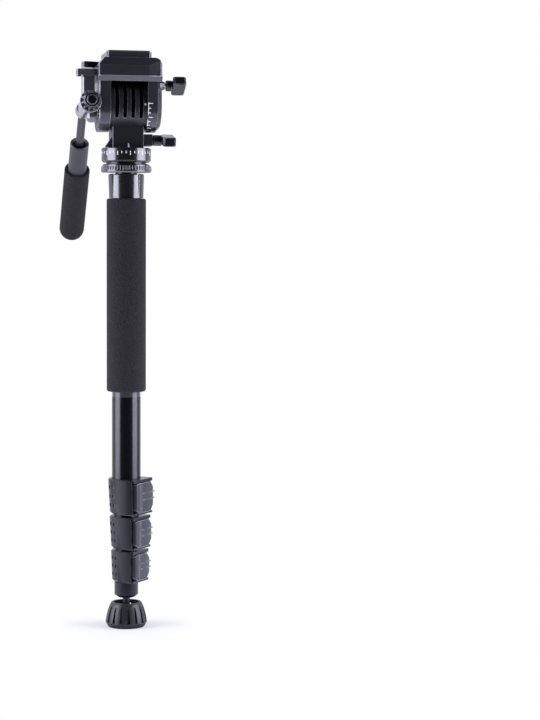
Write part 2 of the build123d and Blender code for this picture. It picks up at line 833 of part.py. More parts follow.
def pan_spindle():
    head_low = spindle_pocket_low + spindle_play / 2
    head = disc(spindle_head_radius, head_low, head_low + spindle_head)
    shank = disc(spindle_radius, head_low, spindle_top)
    return head + shank


def head_neck():
    bottom = neck_bottom
    column = brick(-neck_half, neck_half, neck_front, neck_back, bottom, tilt_level)
    column = chamfer(column.edges().filter_by(Axis.Z), neck_edge)
    drum = rod_along_x(drum_radius, -drum_half, drum_half, 0, tilt_level)
    slot_high = tilt_level + drum_radius + overrun
    for index in range(drum_slots):
        centre = (index - (drum_slots - 1) / 2) * drum_slot_pitch
        left = centre - drum_slot_width / 2
        right = centre + drum_slot_width / 2
        slot = brick(left, right, -drum_radius - overrun, drum_radius + overrun, drum_slot_floor, slot_high)
        web = brick(left, right, -drum_web / 2, drum_web / 2, tilt_level, slot_high)
        drum -= slot - rod_along_x(drum_slot_root, left, right, 0, tilt_level) - web
    gusset = prism_y([(-neck_half + neck_edge, bottom), (-neck_half - gusset_spread, bottom),
                      (-neck_half + neck_edge, bottom + gusset_height)],
                     neck_front + gusset_setback, neck_front + gusset_setback + gusset_thick)
    boss = brick(neck_half - neck_edge, pan_boss_reach, pan_knob_y - pan_boss_wide / 2,
                 pan_knob_y + pan_boss_wide / 2, pan_boss_bottom, pan_boss_top)
    boss = chamfer(boss.edges().filter_by(Axis.X), neck_edge)
    body = column + drum + gusset + boss
    body -= disc(spindle_radius + glue_gap, bottom - overrun, spindle_top)
    body -= rod_along_x(tilt_axle_radius + running_gap, -drum_half - overrun, drum_half + overrun, 0, tilt_level)
    for side in (-1, 1):
        low, high = sorted((side * (drum_half - tilt_washer_recess), side * (drum_half + overrun)))
        body -= rod_along_x(tilt_washer_outer + glue_gap, low, high, 0, tilt_level)
    reach = pan_boss_reach - knob_screw_in_boss
    body -= rod_along_x(knob_screw_radius + running_gap, reach - free_gap, pan_boss_reach + overrun,
                        pan_knob_y, pan_knob_level)
    return body


def tilt_washers():
    rings = []
    for side in (-1, 1):
        low, high = sorted((side * (drum_half - tilt_washer_recess + glue_gap),
                            side * (cheek_inner - running_gap)))
        solid = rod_along_x(tilt_washer_outer, low, high, 0, tilt_level)
        solid -= rod_along_x(tilt_axle_radius + running_gap, low - overrun, high + overrun, 0, tilt_level)
        rings.append(solid)
    return Compound(children=rings)


# Screw knobs with a paddle
def paddle_knob(face_x, space, stem_length, y, level, turn):
    start = face_x + space
    stem_end = start + stem_length
    blade_end = stem_end + knob_blade_reach
    stem = rod_along_x(knob_stem_radius, start, stem_end, 0, 0)
    stem = chamfer(stem.edges().filter_by(GeomType.CIRCLE), knob_blade_edge)
    half_long = knob_blade_length / 2
    half_thick = knob_blade_thick / 2
    blade = brick(stem_end, blade_end, -half_long, half_long, -half_thick, half_thick)
    blade = chamfer(blade.edges().filter_by(Axis.Z), knob_blade_corner)
    blade = chamfer(blade.edges().group_by(Axis.Z)[-1] + blade.edges().group_by(Axis.Z)[0], knob_blade_edge)
    body = stem + blade
    body -= rod_along_x(knob_screw_radius + glue_gap, start - overrun, start + knob_screw_in_knob, 0, 0)
    return Pos(0, y, level) * Rot(turn, 0, 0) * body


def paddle_screw(face_x, space, y, level):
    screw = rod_along_x(knob_screw_radius, face_x - knob_screw_in_boss, face_x + space + knob_screw_in_knob,
                        y, level)
    return chamfer(screw.edges().filter_by(GeomType.CIRCLE), knob_blade_edge / 2)


# Tilting cradle
def cheek(side):
    outline = Polyline((-cheek_radius, tilt_level), (-cheek_radius, deck_nose_low))
    outline += Line((-cheek_radius, deck_nose_low), (cheek_radius, deck_nose_low))
    outline += Line((cheek_radius, deck_nose_low), (cheek_radius, tilt_level))
    outline += ThreePointArc((cheek_radius, tilt_level), (0, tilt_level - cheek_radius),
                             (-cheek_radius, tilt_level))
    slab = extrude(Plane.YZ * make_face(outline), cheek_outer[side] - cheek_inner)
    slab = Pos(cheek_inner, 0, 0) * slab
    rim = slab.faces().sort_by(Axis.X)[-1].edges().sort_by(Axis.Z)[:-1]
    slab = chamfer(rim, cheek_chamfer[side])
    return slab if side > 0 else mirror(slab, Plane.YZ)


def tilt_cradle():
    side_outline = [(deck_front + deck_chin_inset, deck_bottom), (deck_front, deck_nose_low),
                    (deck_front, deck_nose_high), (deck_front + deck_slope_inset, deck_top),
                    (deck_back, deck_top), (deck_back, deck_bottom)]
    deck = prism_x(side_outline, deck_left, deck_right)
    plan = make_face(Polyline((deck_left, deck_back), (deck_left, deck_front),
                              (deck_right - deck_side_wide, deck_front),
                              (deck_right, deck_front + deck_side_deep), (deck_right, deck_back), close=True))
    plan = fillet([plan.vertices().sort_by(Axis.Y).sort_by(Axis.X)[0], plan.vertices().sort_by(Axis.Y)[2]],
                  deck_round)
    deck = (deck & Pos(0, 0, deck_nose_low) * extrude(plan, deck_height)) + (
        deck & brick(deck_left, deck_right, deck_front, deck_back, deck_bottom, deck_nose_low))
    left_x = deck_left + deck_corner_wide
    right_x = deck_right - deck_corner_wide
    corner_z = deck_top - deck_corner_high
    trim_reach = deck_right - deck_left
    front_outline = Polyline((deck_left, deck_bottom - overrun), (deck_left, corner_z),
                             (left_x, deck_top), (right_x, deck_top))
    front_outline += ThreePointArc((right_x, deck_top),
                                   (right_x + deck_corner_wide * cos(radians(deck_corner_mid)),
                                    corner_z + deck_corner_high * sin(radians(deck_corner_mid))),
                                   (deck_right, corner_z))
    front_outline += Polyline((deck_right, corner_z), (deck_right, deck_bottom - overrun),
                              (deck_left, deck_bottom - overrun))
    trimmer = Pos(0, trim_reach, 0) * extrude(Plane.XZ * make_face(front_outline), trim_reach + trim_reach)
    boss = Pos(cheek_outer_right - overrun, tilt_knob_y, tilt_knob_level) * Rot(0, across, 0) * Cone(
        tilt_boss_radius, tilt_boss_tip, tilt_boss_reach + overrun, align=bottom_up)
    body = (deck & trimmer) + cheek(1) + cheek(-1) + boss
    body -= rod_along_x(drum_radius + drum_clear, -cheek_inner, cheek_inner, 0, tilt_level)
    body -= channel_cut()
    body -= rod_along_x(tilt_axle_radius + glue_gap, axle_end_inset - cheek_outer_left,
                        cheek_outer_right - axle_end_inset, 0, tilt_level)
    for side in (-1, 1):
        low, high = sorted((side * (cheek_outer[side] - cover_thick), side * (cheek_outer[side] + overrun)))
        body -= rod_along_x(cover_radius + glue_gap, low, high, 0, tilt_level)
    reach = deck_right - knob_screw_in_boss
    body -= rod_along_x(knob_screw_radius + running_gap, reach - free_gap, deck_right + tilt_knob_space,
                        tilt_knob_y, tilt_knob_level)
    body -= Pos(lever_pivot_x, lever_pivot_y, 0) * disc(deck_lever_clear, plate_lever_low - free_gap,
                                                        deck_top + overrun)
    body -= brick(deck_left - overrun, lever_pivot_x, plate_lever_front - free_gap,
                  deck_back + overrun, plate_lever_low - free_gap, deck_top + overrun)
    body -= brick(deck_left - overrun, lever_pivot_x + plate_lever_eye, lever_pivot_y,
                  deck_back + overrun, plate_lever_low - free_gap, deck_top + overrun)
    body -= brick(lever_pivot_x + plate_lever_eye, -channel_half + channel_slope, jaw_front - jaw_gap,
                  jaw_back + jaw_gap, deck_top - channel_depth, deck_top + overrun)
    body -= Pos(lever_pivot_x, lever_pivot_y, 0) * disc(lever_shaft_radius + glue_gap,
                                                        plate_lever_low - free_gap - lever_shaft_depth,
                                                        deck_top)
    for index in (-1, 1):
        y = (flange_front + flange_back) / 2 + index * bracket_screw_spread
        level = (flange_low + flange_high) / 2
        inner = deck_left - lug_thick - free_gap + bracket_screw_length
        body -= rod_along_x(bracket_screw_radius + glue_gap, deck_left - overrun, inner, y, level)
    return body


def channel_outline(gap):
    half = channel_half - gap
    floor = deck_top - channel_depth + gap
    return [(-half + channel_slope, deck_top + overrun), (half - channel_slope, deck_top + overrun),
            (half - channel_slope, deck_top), (half, floor), (-half, floor), (-half + channel_slope, deck_top)]


def channel_cut():
    return prism_y(channel_outline(0), channel_front, deck_back + overrun)


def tilt_axle():
    inset = axle_end_inset + glue_gap
    axle = rod_along_x(tilt_axle_radius, inset - cheek_outer_left, cheek_outer_right - inset, 0, tilt_level)
    return chamfer(axle.edges().filter_by(GeomType.CIRCLE), neck_edge)


def axle_covers():
    covers = []
    for side in (-1, 1):
        low, high = sorted((side * (cheek_outer[side] - cover_thick + glue_gap),
                            side * (cheek_outer[side] + cover_proud)))
        cover = rod_along_x(cover_radius, low, high, 0, tilt_level)
        rim = cover.edges().filter_by(GeomType.CIRCLE).sort_by(Axis.X)
        cover = chamfer(rim[-1:] if side > 0 else rim[:1], cover_edge)
        covers.append(cover)
    return Compound(children=covers)


# Quick plate
def plate_body():
    half = plate_half
    body = rounded_box(-half, half, plate_front, plate_back, deck_top + plate_gap, plate_top, plate_corner)
    foot = prism_y(channel_outline(plate_gap), channel_front + plate_gap, plate_foot_back)
    foot = foot & brick(-half, half, plate_front, plate_back, deck_top - channel_depth,
                        plate_top - plate_edge)
    body = body + foot
    floor = deck_top - channel_depth + plate_gap
    clip_high = clip_levels()[1]
    body -= Pos(0, screw_y, 0) * disc(camera_screw_pocket, floor - overrun,
                                      clip_high + camera_screw_travel + glue_gap)
    body -= Pos(0, screw_y, 0) * disc(camera_screw_radius + free_gap, floor, plate_top + overrun)
    body -= Pos(0, video_pin_y, 0) * disc(video_pin_radius + running_gap, floor, plate_top + overrun)
    body -= Pos(0, video_pin_y, 0) * disc(video_pin_foot_radius + free_gap, floor + pin_pocket_floor,
                                          plate_top - plate_edge)
    return body


def plate_pad():
    body = rounded_box(-plate_half + pad_margin, plate_half - pad_margin, plate_front + pad_margin,
                       plate_back - pad_margin, plate_top, pad_top, plate_corner - pad_margin)
    body -= Pos(0, screw_y, 0) * disc(camera_screw_radius + free_gap + free_gap, plate_top - overrun,
                                      pad_top + overrun)
    body -= Pos(0, video_pin_y, 0) * disc(video_pin_radius + free_gap, plate_top - overrun, pad_top + overrun)
    return body


def screw_low():
    # the camera screw lies dropped, its tip level with the pad
    return deck_top - channel_depth + glue_gap + glue_gap


def clip_levels():
    low = screw_low() + camera_screw_head + glue_gap
    return low, low + clip_thick


def camera_screw():
    low = screw_low()
    head = disc(camera_screw_head_radius, low, low + camera_screw_head)
    slot = brick(-camera_screw_head_radius - overrun, camera_screw_head_radius + overrun,
                 -camera_screw_slot, camera_screw_slot, low - overrun, low + camera_screw_head / 2)
    shank = disc(camera_screw_radius, low, pad_top)
    shank = chamfer(shank.edges().filter_by(GeomType.CIRCLE).sort_by(Axis.Z)[-1:], camera_screw_slot / 2)
    return Pos(0, screw_y, 0) * (head + shank - slot)


def screw_clip():
    # the ring that keeps the camera screw from falling out of the plate
    low, high = clip_levels()
    return Pos(0, screw_y, 0) * ring(clip_radius, camera_screw_radius + running_gap, low, high)


def video_pin():
    high = plate_top - plate_edge - glue_gap
    flange = disc(video_pin_foot_radius, high - video_pin_foot, high)
    pin = disc(video_pin_radius, high - video_pin_foot, pad_top + video_pin_proud)
    pin = fillet(pin.edges().filter_by(GeomType.CIRCLE).sort_by(Axis.Z)[-1:], video_pin_radius / 2)
    return Pos(0, video_pin_y, 0) * (flange + pin)


def video_pin_spring():
    low = deck_top - channel_depth + plate_gap + pin_pocket_floor + pin_spring_wire + glue_gap
    high = plate_top - plate_edge - glue_gap - video_pin_foot - pin_spring_wire - glue_gap
    coil_radius = video_pin_foot_radius - pin_spring_wire
    pitch = (high - low) / pin_spring_turns
    path = Helix(pitch, high - low, coil_radius)
    section = Plane(origin=path @ 0, z_dir=path % 0) * Circle(pin_spring_wire)
    coil = sweep(section, path=path, is_frenet=True)
    return Pos(0, video_pin_y, low) * coil


# Plate lever
def plate_lever():
    eye = disc(plate_lever_eye, plate_lever_low, plate_lever_high)
    left = -plate_lever_length
    front = plate_lever_front - lever_pivot_y
    back = plate_lever_back - lever_pivot_y
    tab = left + plate_lever_tab
    arm = prism_z([(left, front), (tab, front), (0, -plate_lever_eye), (0, plate_lever_eye), (tab, back),
                   (left, back)], plate_lever_low, plate_lever_high)
    arm = fillet(arm.edges().filter_by(Axis.Z).sort_by(Axis.X)[:2], plate_lever_round)
    body = eye + arm
    body -= disc(lever_shaft_radius + running_gap, plate_lever_low - overrun, plate_lever_high + overrun)
    return Pos(lever_pivot_x, lever_pivot_y, 0) * body


def lever_pivot():
    low = plate_lever_low - free_gap - lever_shaft_depth
    shaft = disc(lever_shaft_radius, low + glue_gap, plate_lever_high)
    shaft = chamfer(shaft.edges().filter_by(GeomType.CIRCLE), neck_edge / 2)
    return Pos(lever_pivot_x, lever_pivot_y, 0) * shaft


def plate_jaw():
    # the pad that the lever's cam presses against the foot of the plate
    inner = -channel_half + plate_gap
    outer = lever_pivot_x + plate_lever_eye + jaw_gap
    floor = deck_top - channel_depth + glue_gap
    high = deck_top - glue_gap
    outline = [(outer, floor), (inner - jaw_gap, floor), (inner + channel_slope - jaw_gap - jaw_gap, high),
               (outer, high)]
    return prism_y(outline, jaw_front, jaw_back)


# Handle bracket and handle, in the frame of the sloping barrel
barrel_place = Pos(barrel_x, 0, barrel_level) * Rot(-barrel_slope, 0, 0)


def handle_bracket():
    plate = rounded_box(flange_outer, deck_left - glue_gap, flange_front, flange_back,
                        flange_low, flange_high, flange_round)
    plate += rounded_box(flange_outer - flange_lip_out, flange_outer - flange_lip_out + flange_lip,
                         flange_front, flange_front + flange_lip_long, flange_low - flange_lip_drop,
                         flange_high, flange_lip_out)
    post = brick(post_outer, post_inner, post_front, post_back, barrel_level + post_foot,
                 flange_low + neck_edge)
    post = chamfer(post.edges().filter_by(Axis.Z), neck_edge)
    barrel = rod_along_y(barrel_outer, barrel_front, barrel_rear, 0, 0)
    rim = rod_along_y(barrel_rim_radius, barrel_front, barrel_front + barrel_rim_long, 0, 0)
    rim = chamfer(rim.edges().filter_by(GeomType.CIRCLE), barrel_rim_edge)
    barrel = chamfer(barrel.edges().filter_by(GeomType.CIRCLE), neck_edge) + rim
    seam_low = barrel_seam_at
    seam_high = barrel_seam_at + barrel_seam_wide
    barrel -= (rod_along_y(barrel_outer + overrun, seam_low, seam_high, 0, 0)
               - rod_along_y(barrel_outer - barrel_seam_deep, seam_low - overrun, seam_high + overrun, 0, 0))
    panel = brick(-barrel_outer - overrun, -barrel_outer + barrel_panel_deep, barrel_panel_from,
                  barrel_panel_from + barrel_panel_long, -barrel_panel_high / 2, barrel_panel_high / 2)
    barrel -= panel
    stub = rod_along_x(stub_radius, barrel_x, -cheek_outer_left - cover_proud - free_gap, stub_y,
                       barrel_level - stub_drop)
    stub = chamfer(stub.edges().filter_by(GeomType.CIRCLE).sort_by(Axis.X)[:1], stub_edge)
    body = plate + post + stub + barrel_place * barrel
    body -= barrel_place * rod_along_y(rod_radius + running_gap, barrel_front - overrun,
                                       barrel_rear + overrun, 0, 0)
    body -= barrel_place * rod_along_y(handle_spigot_radius + free_gap, barrel_front - overrun,
                                       rod_front - free_gap, 0, 0)
    for index in (-1, 1):
        y = (flange_front + flange_back) / 2 + index * bracket_screw_spread
        level = (flange_low + flange_high) / 2
        body -= rod_along_x(bracket_screw_radius + glue_gap, flange_outer - overrun, deck_left, y, level)
        body -= rod_along_x(bracket_screw_head_radius + free_gap, flange_outer - overrun,
                            deck_left - lug_thick, y, level)
    return body


def bracket_screws():
    screws = []
    for index in (-1, 1):
        y = (flange_front + flange_back) / 2 + index * bracket_screw_spread
        level = (flange_low + flange_high) / 2
        start = deck_left - lug_thick
        shank = rod_along_x(bracket_screw_radius, start - free_gap,
                            start + bracket_screw_length - free_gap - free_gap, y, level)
        head = rod_along_x(bracket_screw_head_radius, start - bracket_screw_head, start - glue_gap, y, level)
        screws.append(shank + head)
    return Compound(children=screws)


def handle_bend_end():
    # where the bend ends and the straight part begins, in the barrel's frame
    turn = radians(rod_drop - barrel_slope)
    return rod_bend_at + rod_bend_radius * sin(turn), -rod_bend_radius * (1 - cos(turn))


def handle_place():
    # a frame whose Z runs down the straight part of the handle
    end_y, end_z = handle_bend_end()
    return barrel_place * Pos(0, end_y, end_z) * Rot(-across - rod_drop + barrel_slope, 0, 0)


def handle_rod():
    end_y, end_z = handle_bend_end()
    front = rod_along_y(rod_radius, rod_front, rod_bend_at, 0, 0)
    path = Plane.YZ * RadiusArc((rod_bend_at, 0), (end_y, end_z), rod_bend_radius)
    section = Plane(origin=path @ 0, z_dir=path % 0) * Circle(rod_radius)
    bend = sweep(section, path=path)
    body = barrel_place * (front + bend)
    body += handle_place() * disc(rod_radius, 0, rod_visible + rod_in_sleeve)
    body -= barrel_place * rod_along_y(handle_bolt_radius + running_gap, rod_front - overrun,
                                       rod_front + handle_bolt_reach, 0, 0)
    return body


def handle_sleeve():
    low = rod_visible
    high = low + sleeve_visible + sleeve_in_grip
    body = disc(sleeve_radius, low, high)
    body = chamfer(body.edges().filter_by(GeomType.CIRCLE), neck_edge)
    body -= disc(sleeve_mouth_radius, low - overrun, low + sleeve_mouth_depth)
    body -= taper(sleeve_mouth_radius + sleeve_mouth_flare, sleeve_mouth_radius, low,
                  low + sleeve_mouth_flare)
    body -= disc(rod_radius + glue_gap, low, rod_visible + rod_in_sleeve + glue_gap)
    return handle_place() * body


def handle_grip():
    low = rod_visible + sleeve_visible
    high = low + handle_grip_length
    round_at = high - handle_grip_radius
    body = disc(handle_grip_radius, low, round_at) + Pos(0, 0, round_at) * Sphere(handle_grip_radius)
    body = body & disc(handle_grip_radius + overrun, low, high + overrun)
    body = fillet(body.edges().filter_by(GeomType.CIRCLE).sort_by(Axis.Z)[:1], handle_grip_lip)
    body -= disc(sleeve_radius + glue_gap, low - overrun, low + sleeve_in_grip + glue_gap)
    return handle_place() * body


def handle_knob():
    rear = barrel_front - handle_knob_gap
    front = rear - handle_knob_length
    body = rod_along_y(handle_knob_radius, front, rear, 0, 0)
    body = chamfer(body.edges().filter_by(GeomType.CIRCLE).sort_by(Axis.Y)[-1:], neck_edge)
    rim = body.edges().filter_by(GeomType.CIRCLE).sort_by(Axis.Y)[:1]
    body = chamfer(rim, handle_knob_bevel, handle_knob_bevel_deep)
    for index in range(handle_knob_flutes):
        angle = index * full_turn / handle_knob_flutes
        flute = rod_along_y(handle_knob_flute_radius, front - overrun, rear + overrun, 0, handle_knob_radius)
        body -= Rot(0, angle, 0) * flute
    cap = rod_along_y(handle_knob_cap_radius, front - handle_knob_cap, front, 0, 0)
    cap = chamfer(cap.edges().filter_by(GeomType.CIRCLE).sort_by(Axis.Y)[:1], neck_edge)
    spigot = rod_along_y(handle_spigot_radius, rear, rod_front - free_gap - free_gap, 0, 0)
    body = body + cap + spigot
    body -= rod_along_y(handle_bolt_radius + glue_gap, rear - handle_bolt_in_knob, rod_front, 0, 0)
    return barrel_place * body


def handle_bolt():
    rear = barrel_front - handle_knob_gap
    bolt = rod_along_y(handle_bolt_radius, rear - handle_bolt_in_knob,
                       rod_front + handle_bolt_reach - free_gap, 0, 0)
    return barrel_place * bolt


pieces = {
    "main_tube": leg_tube(0),
    "foam_grip": foam_grip(),
    "head_collar": head_collar(),
    "top_plug": top_plug(),
    "head_stud": head_stud(),
    "platform_ring": knurled_ring(),
    "ring_lever": ring_lever(),
    "ring_lever_pivot": ring_lever_pivot(),
    "dial_base": dial_base(),
    "pan_washer": pan_washer(),
    "pan_spindle": pan_spindle(),
    "head_neck": head_neck(),
    "tilt_washers": tilt_washers(),
    "pan_knob": paddle_knob(pan_boss_reach, pan_knob_space, pan_knob_stem, pan_knob_y, pan_knob_level,
                            pan_knob_turn),
    "pan_knob_screw": paddle_screw(pan_boss_reach, pan_knob_space, pan_knob_y, pan_knob_level),
    "tilt_cradle": tilt_cradle(),
    "tilt_axle": tilt_axle(),
    "axle_covers": axle_covers(),
    "tilt_knob": paddle_knob(deck_right, tilt_knob_space, tilt_knob_stem, tilt_knob_y, tilt_knob_level,
                             tilt_knob_turn),
    "tilt_knob_screw": paddle_screw(deck_right, tilt_knob_space, tilt_knob_y, tilt_knob_level),
    "quick_plate": plate_body(),
    "plate_pad": plate_pad(),
    "camera_screw": camera_screw(),
    "screw_clip": screw_clip(),
    "video_pin": video_pin(),
    "video_pin_spring": video_pin_spring(),
    "plate_lever": plate_lever(),
    "lever_pivot": lever_pivot(),
    "plate_jaw": plate_jaw(),
    "handle_bracket": handle_bracket(),
    "bracket_screws": bracket_screws(),
    "handle_rod": handle_rod(),
    "handle_sleeve": handle_sleeve(),
    "handle_grip": handle_grip(),
    "handle_knob": handle_knob(),
    "handle_bolt": handle_bolt(),
    "leg_ferrule": leg_ferrule(),
    "foot_stud": foot_stud(),
    "rubber_foot": rubber_foot(),
}
for section in range(1, len(tube_outer)):
    pieces[f"leg_{section + 1}_tube"] = leg_tube(section)
    pieces[f"leg_{section + 1}_guide"] = leg_guide(section)
for lock in range(len(collar_bottom)):
    pieces[f"lock_{lock + 1}_collar"] = lock_collar(lock)
    pieces[f"lock_{lock + 1}_clamp"] = lock_clamp(lock)
    pieces[f"lock_{lock + 1}_lever"] = lock_lever(lock)
    pieces[f"lock_{lock + 1}_pin"] = lock_pin(lock)
    pieces[f"lock_{lock + 1}_bolt"] = lock_bolt(lock)

os.makedirs("parts", exist_ok=True)
for name, solid in pieces.items():
    export_step(solid, f"parts/{name}.step")
print(len(pieces), "pieces written")
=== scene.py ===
import bpy
import bmesh
from math import cos, pi, radians, sin
from mathutils import Matrix, Vector, noise


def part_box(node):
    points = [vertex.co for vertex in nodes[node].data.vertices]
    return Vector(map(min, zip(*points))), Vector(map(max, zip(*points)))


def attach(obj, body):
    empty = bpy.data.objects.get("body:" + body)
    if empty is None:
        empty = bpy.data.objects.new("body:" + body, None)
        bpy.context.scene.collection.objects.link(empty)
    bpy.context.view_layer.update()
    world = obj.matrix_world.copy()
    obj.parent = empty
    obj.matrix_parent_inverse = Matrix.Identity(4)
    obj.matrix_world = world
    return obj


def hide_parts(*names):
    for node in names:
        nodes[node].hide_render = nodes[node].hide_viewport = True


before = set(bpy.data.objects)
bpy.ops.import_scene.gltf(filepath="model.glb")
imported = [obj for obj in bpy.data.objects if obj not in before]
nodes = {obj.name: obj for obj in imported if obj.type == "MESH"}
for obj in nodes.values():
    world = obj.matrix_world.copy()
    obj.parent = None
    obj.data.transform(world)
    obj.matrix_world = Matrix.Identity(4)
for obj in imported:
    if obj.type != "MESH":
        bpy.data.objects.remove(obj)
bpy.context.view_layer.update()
mm = 0.001
scene = bpy.context.scene
scene.view_settings.view_transform = "Standard"
print("stage: frame loaded,", len(nodes), "nodes")


def addObject(name, data):
    made = bpy.data.objects.new(name, data)
    scene.collection.objects.link(made)
    return made


# Camera, fitted to the ellipses of the tube and to the heights of the object in the photograph
cameraFacts = {
    "place": (-0.26354, -2.14638, 0.4499),
    "yaw": 11.2364,           # degrees from +Y towards +X
    "pitch": -3.9891,
    "roll": 0.2952,
    "focalPixels": 1944.7,
    "longSidePixels": 720,
    "sensor": 36.0,
}


def makeCamera(facts):
    data = bpy.data.cameras.new("photoCamera")
    data.sensor_fit = "AUTO"
    data.sensor_width = facts["sensor"]
    data.lens = facts["sensor"] * facts["focalPixels"] / facts["longSidePixels"]
    camera = addObject("photoCamera", data)
    yaw, pitch, roll = (radians(facts[name]) for name in ("yaw", "pitch", "roll"))
    forward = Vector((sin(yaw) * cos(pitch), cos(yaw) * cos(pitch), sin(pitch)))
    right = Vector((cos(yaw), -sin(yaw), 0))
    up = right.cross(forward)
    rolledRight = right * cos(roll) + up * sin(roll)
    rolledUp = up * cos(roll) - right * sin(roll)
    turn = Matrix((rolledRight, rolledUp, -forward)).transposed()
    camera.matrix_world = Matrix.Translation(facts["place"]) @ turn.to_4x4()
    scene.camera = camera


makeCamera(cameraFacts)


# Nodes shared by the studio, the finishes and the marks
def setSocket(tree, socket, value):
    # links an output, or writes a plain value
    if isinstance(value, bpy.types.NodeSocket):
        tree.links.new(value, socket)
    elif value is not None:
        socket.default_value = value


def addMath(tree, operation, *values):
    node = tree.nodes.new("ShaderNodeMath")
    node.operation = operation
    for socket, value in zip(node.inputs, values):
        setSocket(tree, socket, value)
    return node.outputs[0]


def addVector(tree, x=None, y=None, z=None):
    node = tree.nodes.new("ShaderNodeCombineXYZ")
    for socket, value in zip(node.inputs, (x, y, z)):
        setSocket(tree, socket, value)
    return node.outputs[0]


def addRange(tree, value, ends, results=(0.0, 1.0), kind="LINEAR", clamp=True):
    node = tree.nodes.new("ShaderNodeMapRange")
    node.interpolation_type = kind
    node.clamp = clamp
    setSocket(tree, node.inputs["Value"], value)
    for label, end in zip(("From Min", "From Max", "To Min", "To Max"), (*ends, *results)):
        setSocket(tree, node.inputs[label], end)
    return node.outputs["Result"]


def addMix(tree, factor, first, second, blend="MIX"):
    node = tree.nodes.new("ShaderNodeMix")
    node.data_type = "RGBA"
    node.blend_type = blend
    for label, value in (("Factor", factor), ("A", first), ("B", second)):
        setSocket(tree, node.inputs[label], value)
    return node.outputs["Result"]


def addNoise(tree, place, scale, detail):
    node = tree.nodes.new("ShaderNodeTexNoise")
    for label, value in (("Vector", place), ("Scale", scale), ("Detail", detail)):
        setSocket(tree, node.inputs[label], value)
    return node.outputs["Fac"]


def mixShaders(tree, factor, first, second, outKind):
    mix = tree.nodes.new("ShaderNodeMixShader")
    out = tree.nodes.new(outKind)
    for socket, value in zip(mix.inputs, (factor, first, second)):
        tree.links.new(value, socket)
    tree.links.new(mix.outputs["Shader"], out.inputs["Surface"])


# Studio: white paper, two tall soft boxes at the sides, a lamp that faces up and a dark room in front
studioFacts = {
    "floorSize": 9.0,
    "paperColour": (0.88, 0.9, 0.93),
    "paperEnds": (0.5, 1.1),     # the paper fades out over these distances from the foot, for light only
    "paperFar": 0.05,
    "shadowEnds": (0.03, 0.09),  # the paper shows its shadow this near the foot, and is white further out
    "nearWhite": 0.4,
    "sweepFrom": (0.15, 0.7),    # behind the object, reflections see the paper white
    "sweepWhite": 0.9,
    "frontFrom": (0.05, -0.3),   # in front of the foot, reflections see the paper darker by frontDark
    "frontDark": 0.85,
    "tableSize": (1.3, 0.55),    # a lamp that faces up in front of the leg and lights the head from below
    "tablePlace": (-0.15, -0.2, 0.258),
    "tablePower": 2.3,
    "viewTurn": -7.0,            # the camera looks from here, degrees from the front towards +X
    "boxSide": 75.0,             # degrees from the view, which puts the highlights at 0.6 of a tube's radius
    "boxAway": 1.05,
    "boxHigh": 1.5,
    "boxWide": 0.85,
    "boxPower": 23.0,
    "lampColour": (0.87, 0.865, 1.0),
    "roomTurn": (0.0, 0.45),     # from the side to behind, the room goes from roomFront to roomFill
    "roomFront": 0.012,
    "roomFill": 0.95,
    "roomWhite": (1.0, 1.0, 1.0),
}


def makePaper(facts):
    material = bpy.data.materials.new("studioPaper")
    material.use_nodes = True
    tree = material.node_tree
    tree.nodes.clear()
    place = tree.nodes.new("ShaderNodeNewGeometry").outputs["Position"]
    spot = tree.nodes.new("ShaderNodeSeparateXYZ")
    tree.links.new(place, spot.inputs["Vector"])
    away = tree.nodes.new("ShaderNodeVectorMath")
    away.operation = "LENGTH"
    tree.links.new(place, away.inputs[0])
    distance, depth = away.outputs["Value"], spot.outputs["Y"]
    rays = tree.nodes.new("ShaderNodeLightPath").outputs
    # the paper as light meets it: fading with distance, and darker in front for reflections
    faded = addRange(tree, distance, facts["paperEnds"], (1.0, facts["paperFar"]), "SMOOTHSTEP")
    front = addRange(tree, depth, facts["frontFrom"], (0.0, facts["frontDark"]))
    dark = addMath(tree, "MULTIPLY", front, rays["Is Glossy Ray"])
    lit = addMath(tree, "MULTIPLY", faded, addMath(tree, "SUBTRACT", 1.0, dark))
    paper = tree.nodes.new("ShaderNodeBsdfDiffuse")
    tree.links.new(addMix(tree, 1.0, facts["paperColour"] + (1,), lit, "MULTIPLY"), paper.inputs["Color"])
    # the camera sees it white; reflections see it white only behind the object
    near = addRange(tree, distance, facts["shadowEnds"], (facts["nearWhite"], 1.0), "SMOOTHSTEP")
    behind = addRange(tree, depth, facts["sweepFrom"], (0.0, facts["sweepWhite"]))
    glossy = addMath(tree, "MULTIPLY", behind, rays["Is Glossy Ray"])
    seen = addMath(tree, "MULTIPLY", near, addMath(tree, "MAXIMUM", rays["Is Camera Ray"], glossy))
    white = tree.nodes.new("ShaderNodeEmission")
    mixShaders(tree, seen, paper.outputs["BSDF"], white.outputs["Emission"], "ShaderNodeOutputMaterial")
    return material


def makeFloor(facts):
    half = facts["floorSize"] / 2
    mesh = bpy.data.meshes.new("studioFloor")
    mesh.from_pydata([(-half, -half, 0), (half, -half, 0), (half, half, 0), (-half, half, 0)], [],
                     [(0, 1, 2, 3)])
    mesh.materials.append(makePaper(facts))
    floor = addObject("studioFloor", mesh)


def makeLamp(name, width, high, power, colour):
    data = bpy.data.lights.new(name, "AREA")
    data.shape = "RECTANGLE"
    data.size, data.size_y = width, high
    data.energy = power
    data.color = colour
    return addObject(name, data)


def makeSoftBox(name, azimuth, facts):
    # azimuth in degrees from the front (-Y), towards +X
    lamp = makeLamp(name, facts["boxWide"], facts["boxHigh"], facts["boxPower"], facts["lampColour"])
    turn = radians(azimuth)
    height = facts["boxHigh"] / 2
    lamp.location = (sin(turn) * facts["boxAway"], -cos(turn) * facts["boxAway"], height)
    aim = Vector((0, 0, height)) - lamp.location
    lamp.rotation_euler = aim.to_track_quat("-Z", "Y").to_euler()


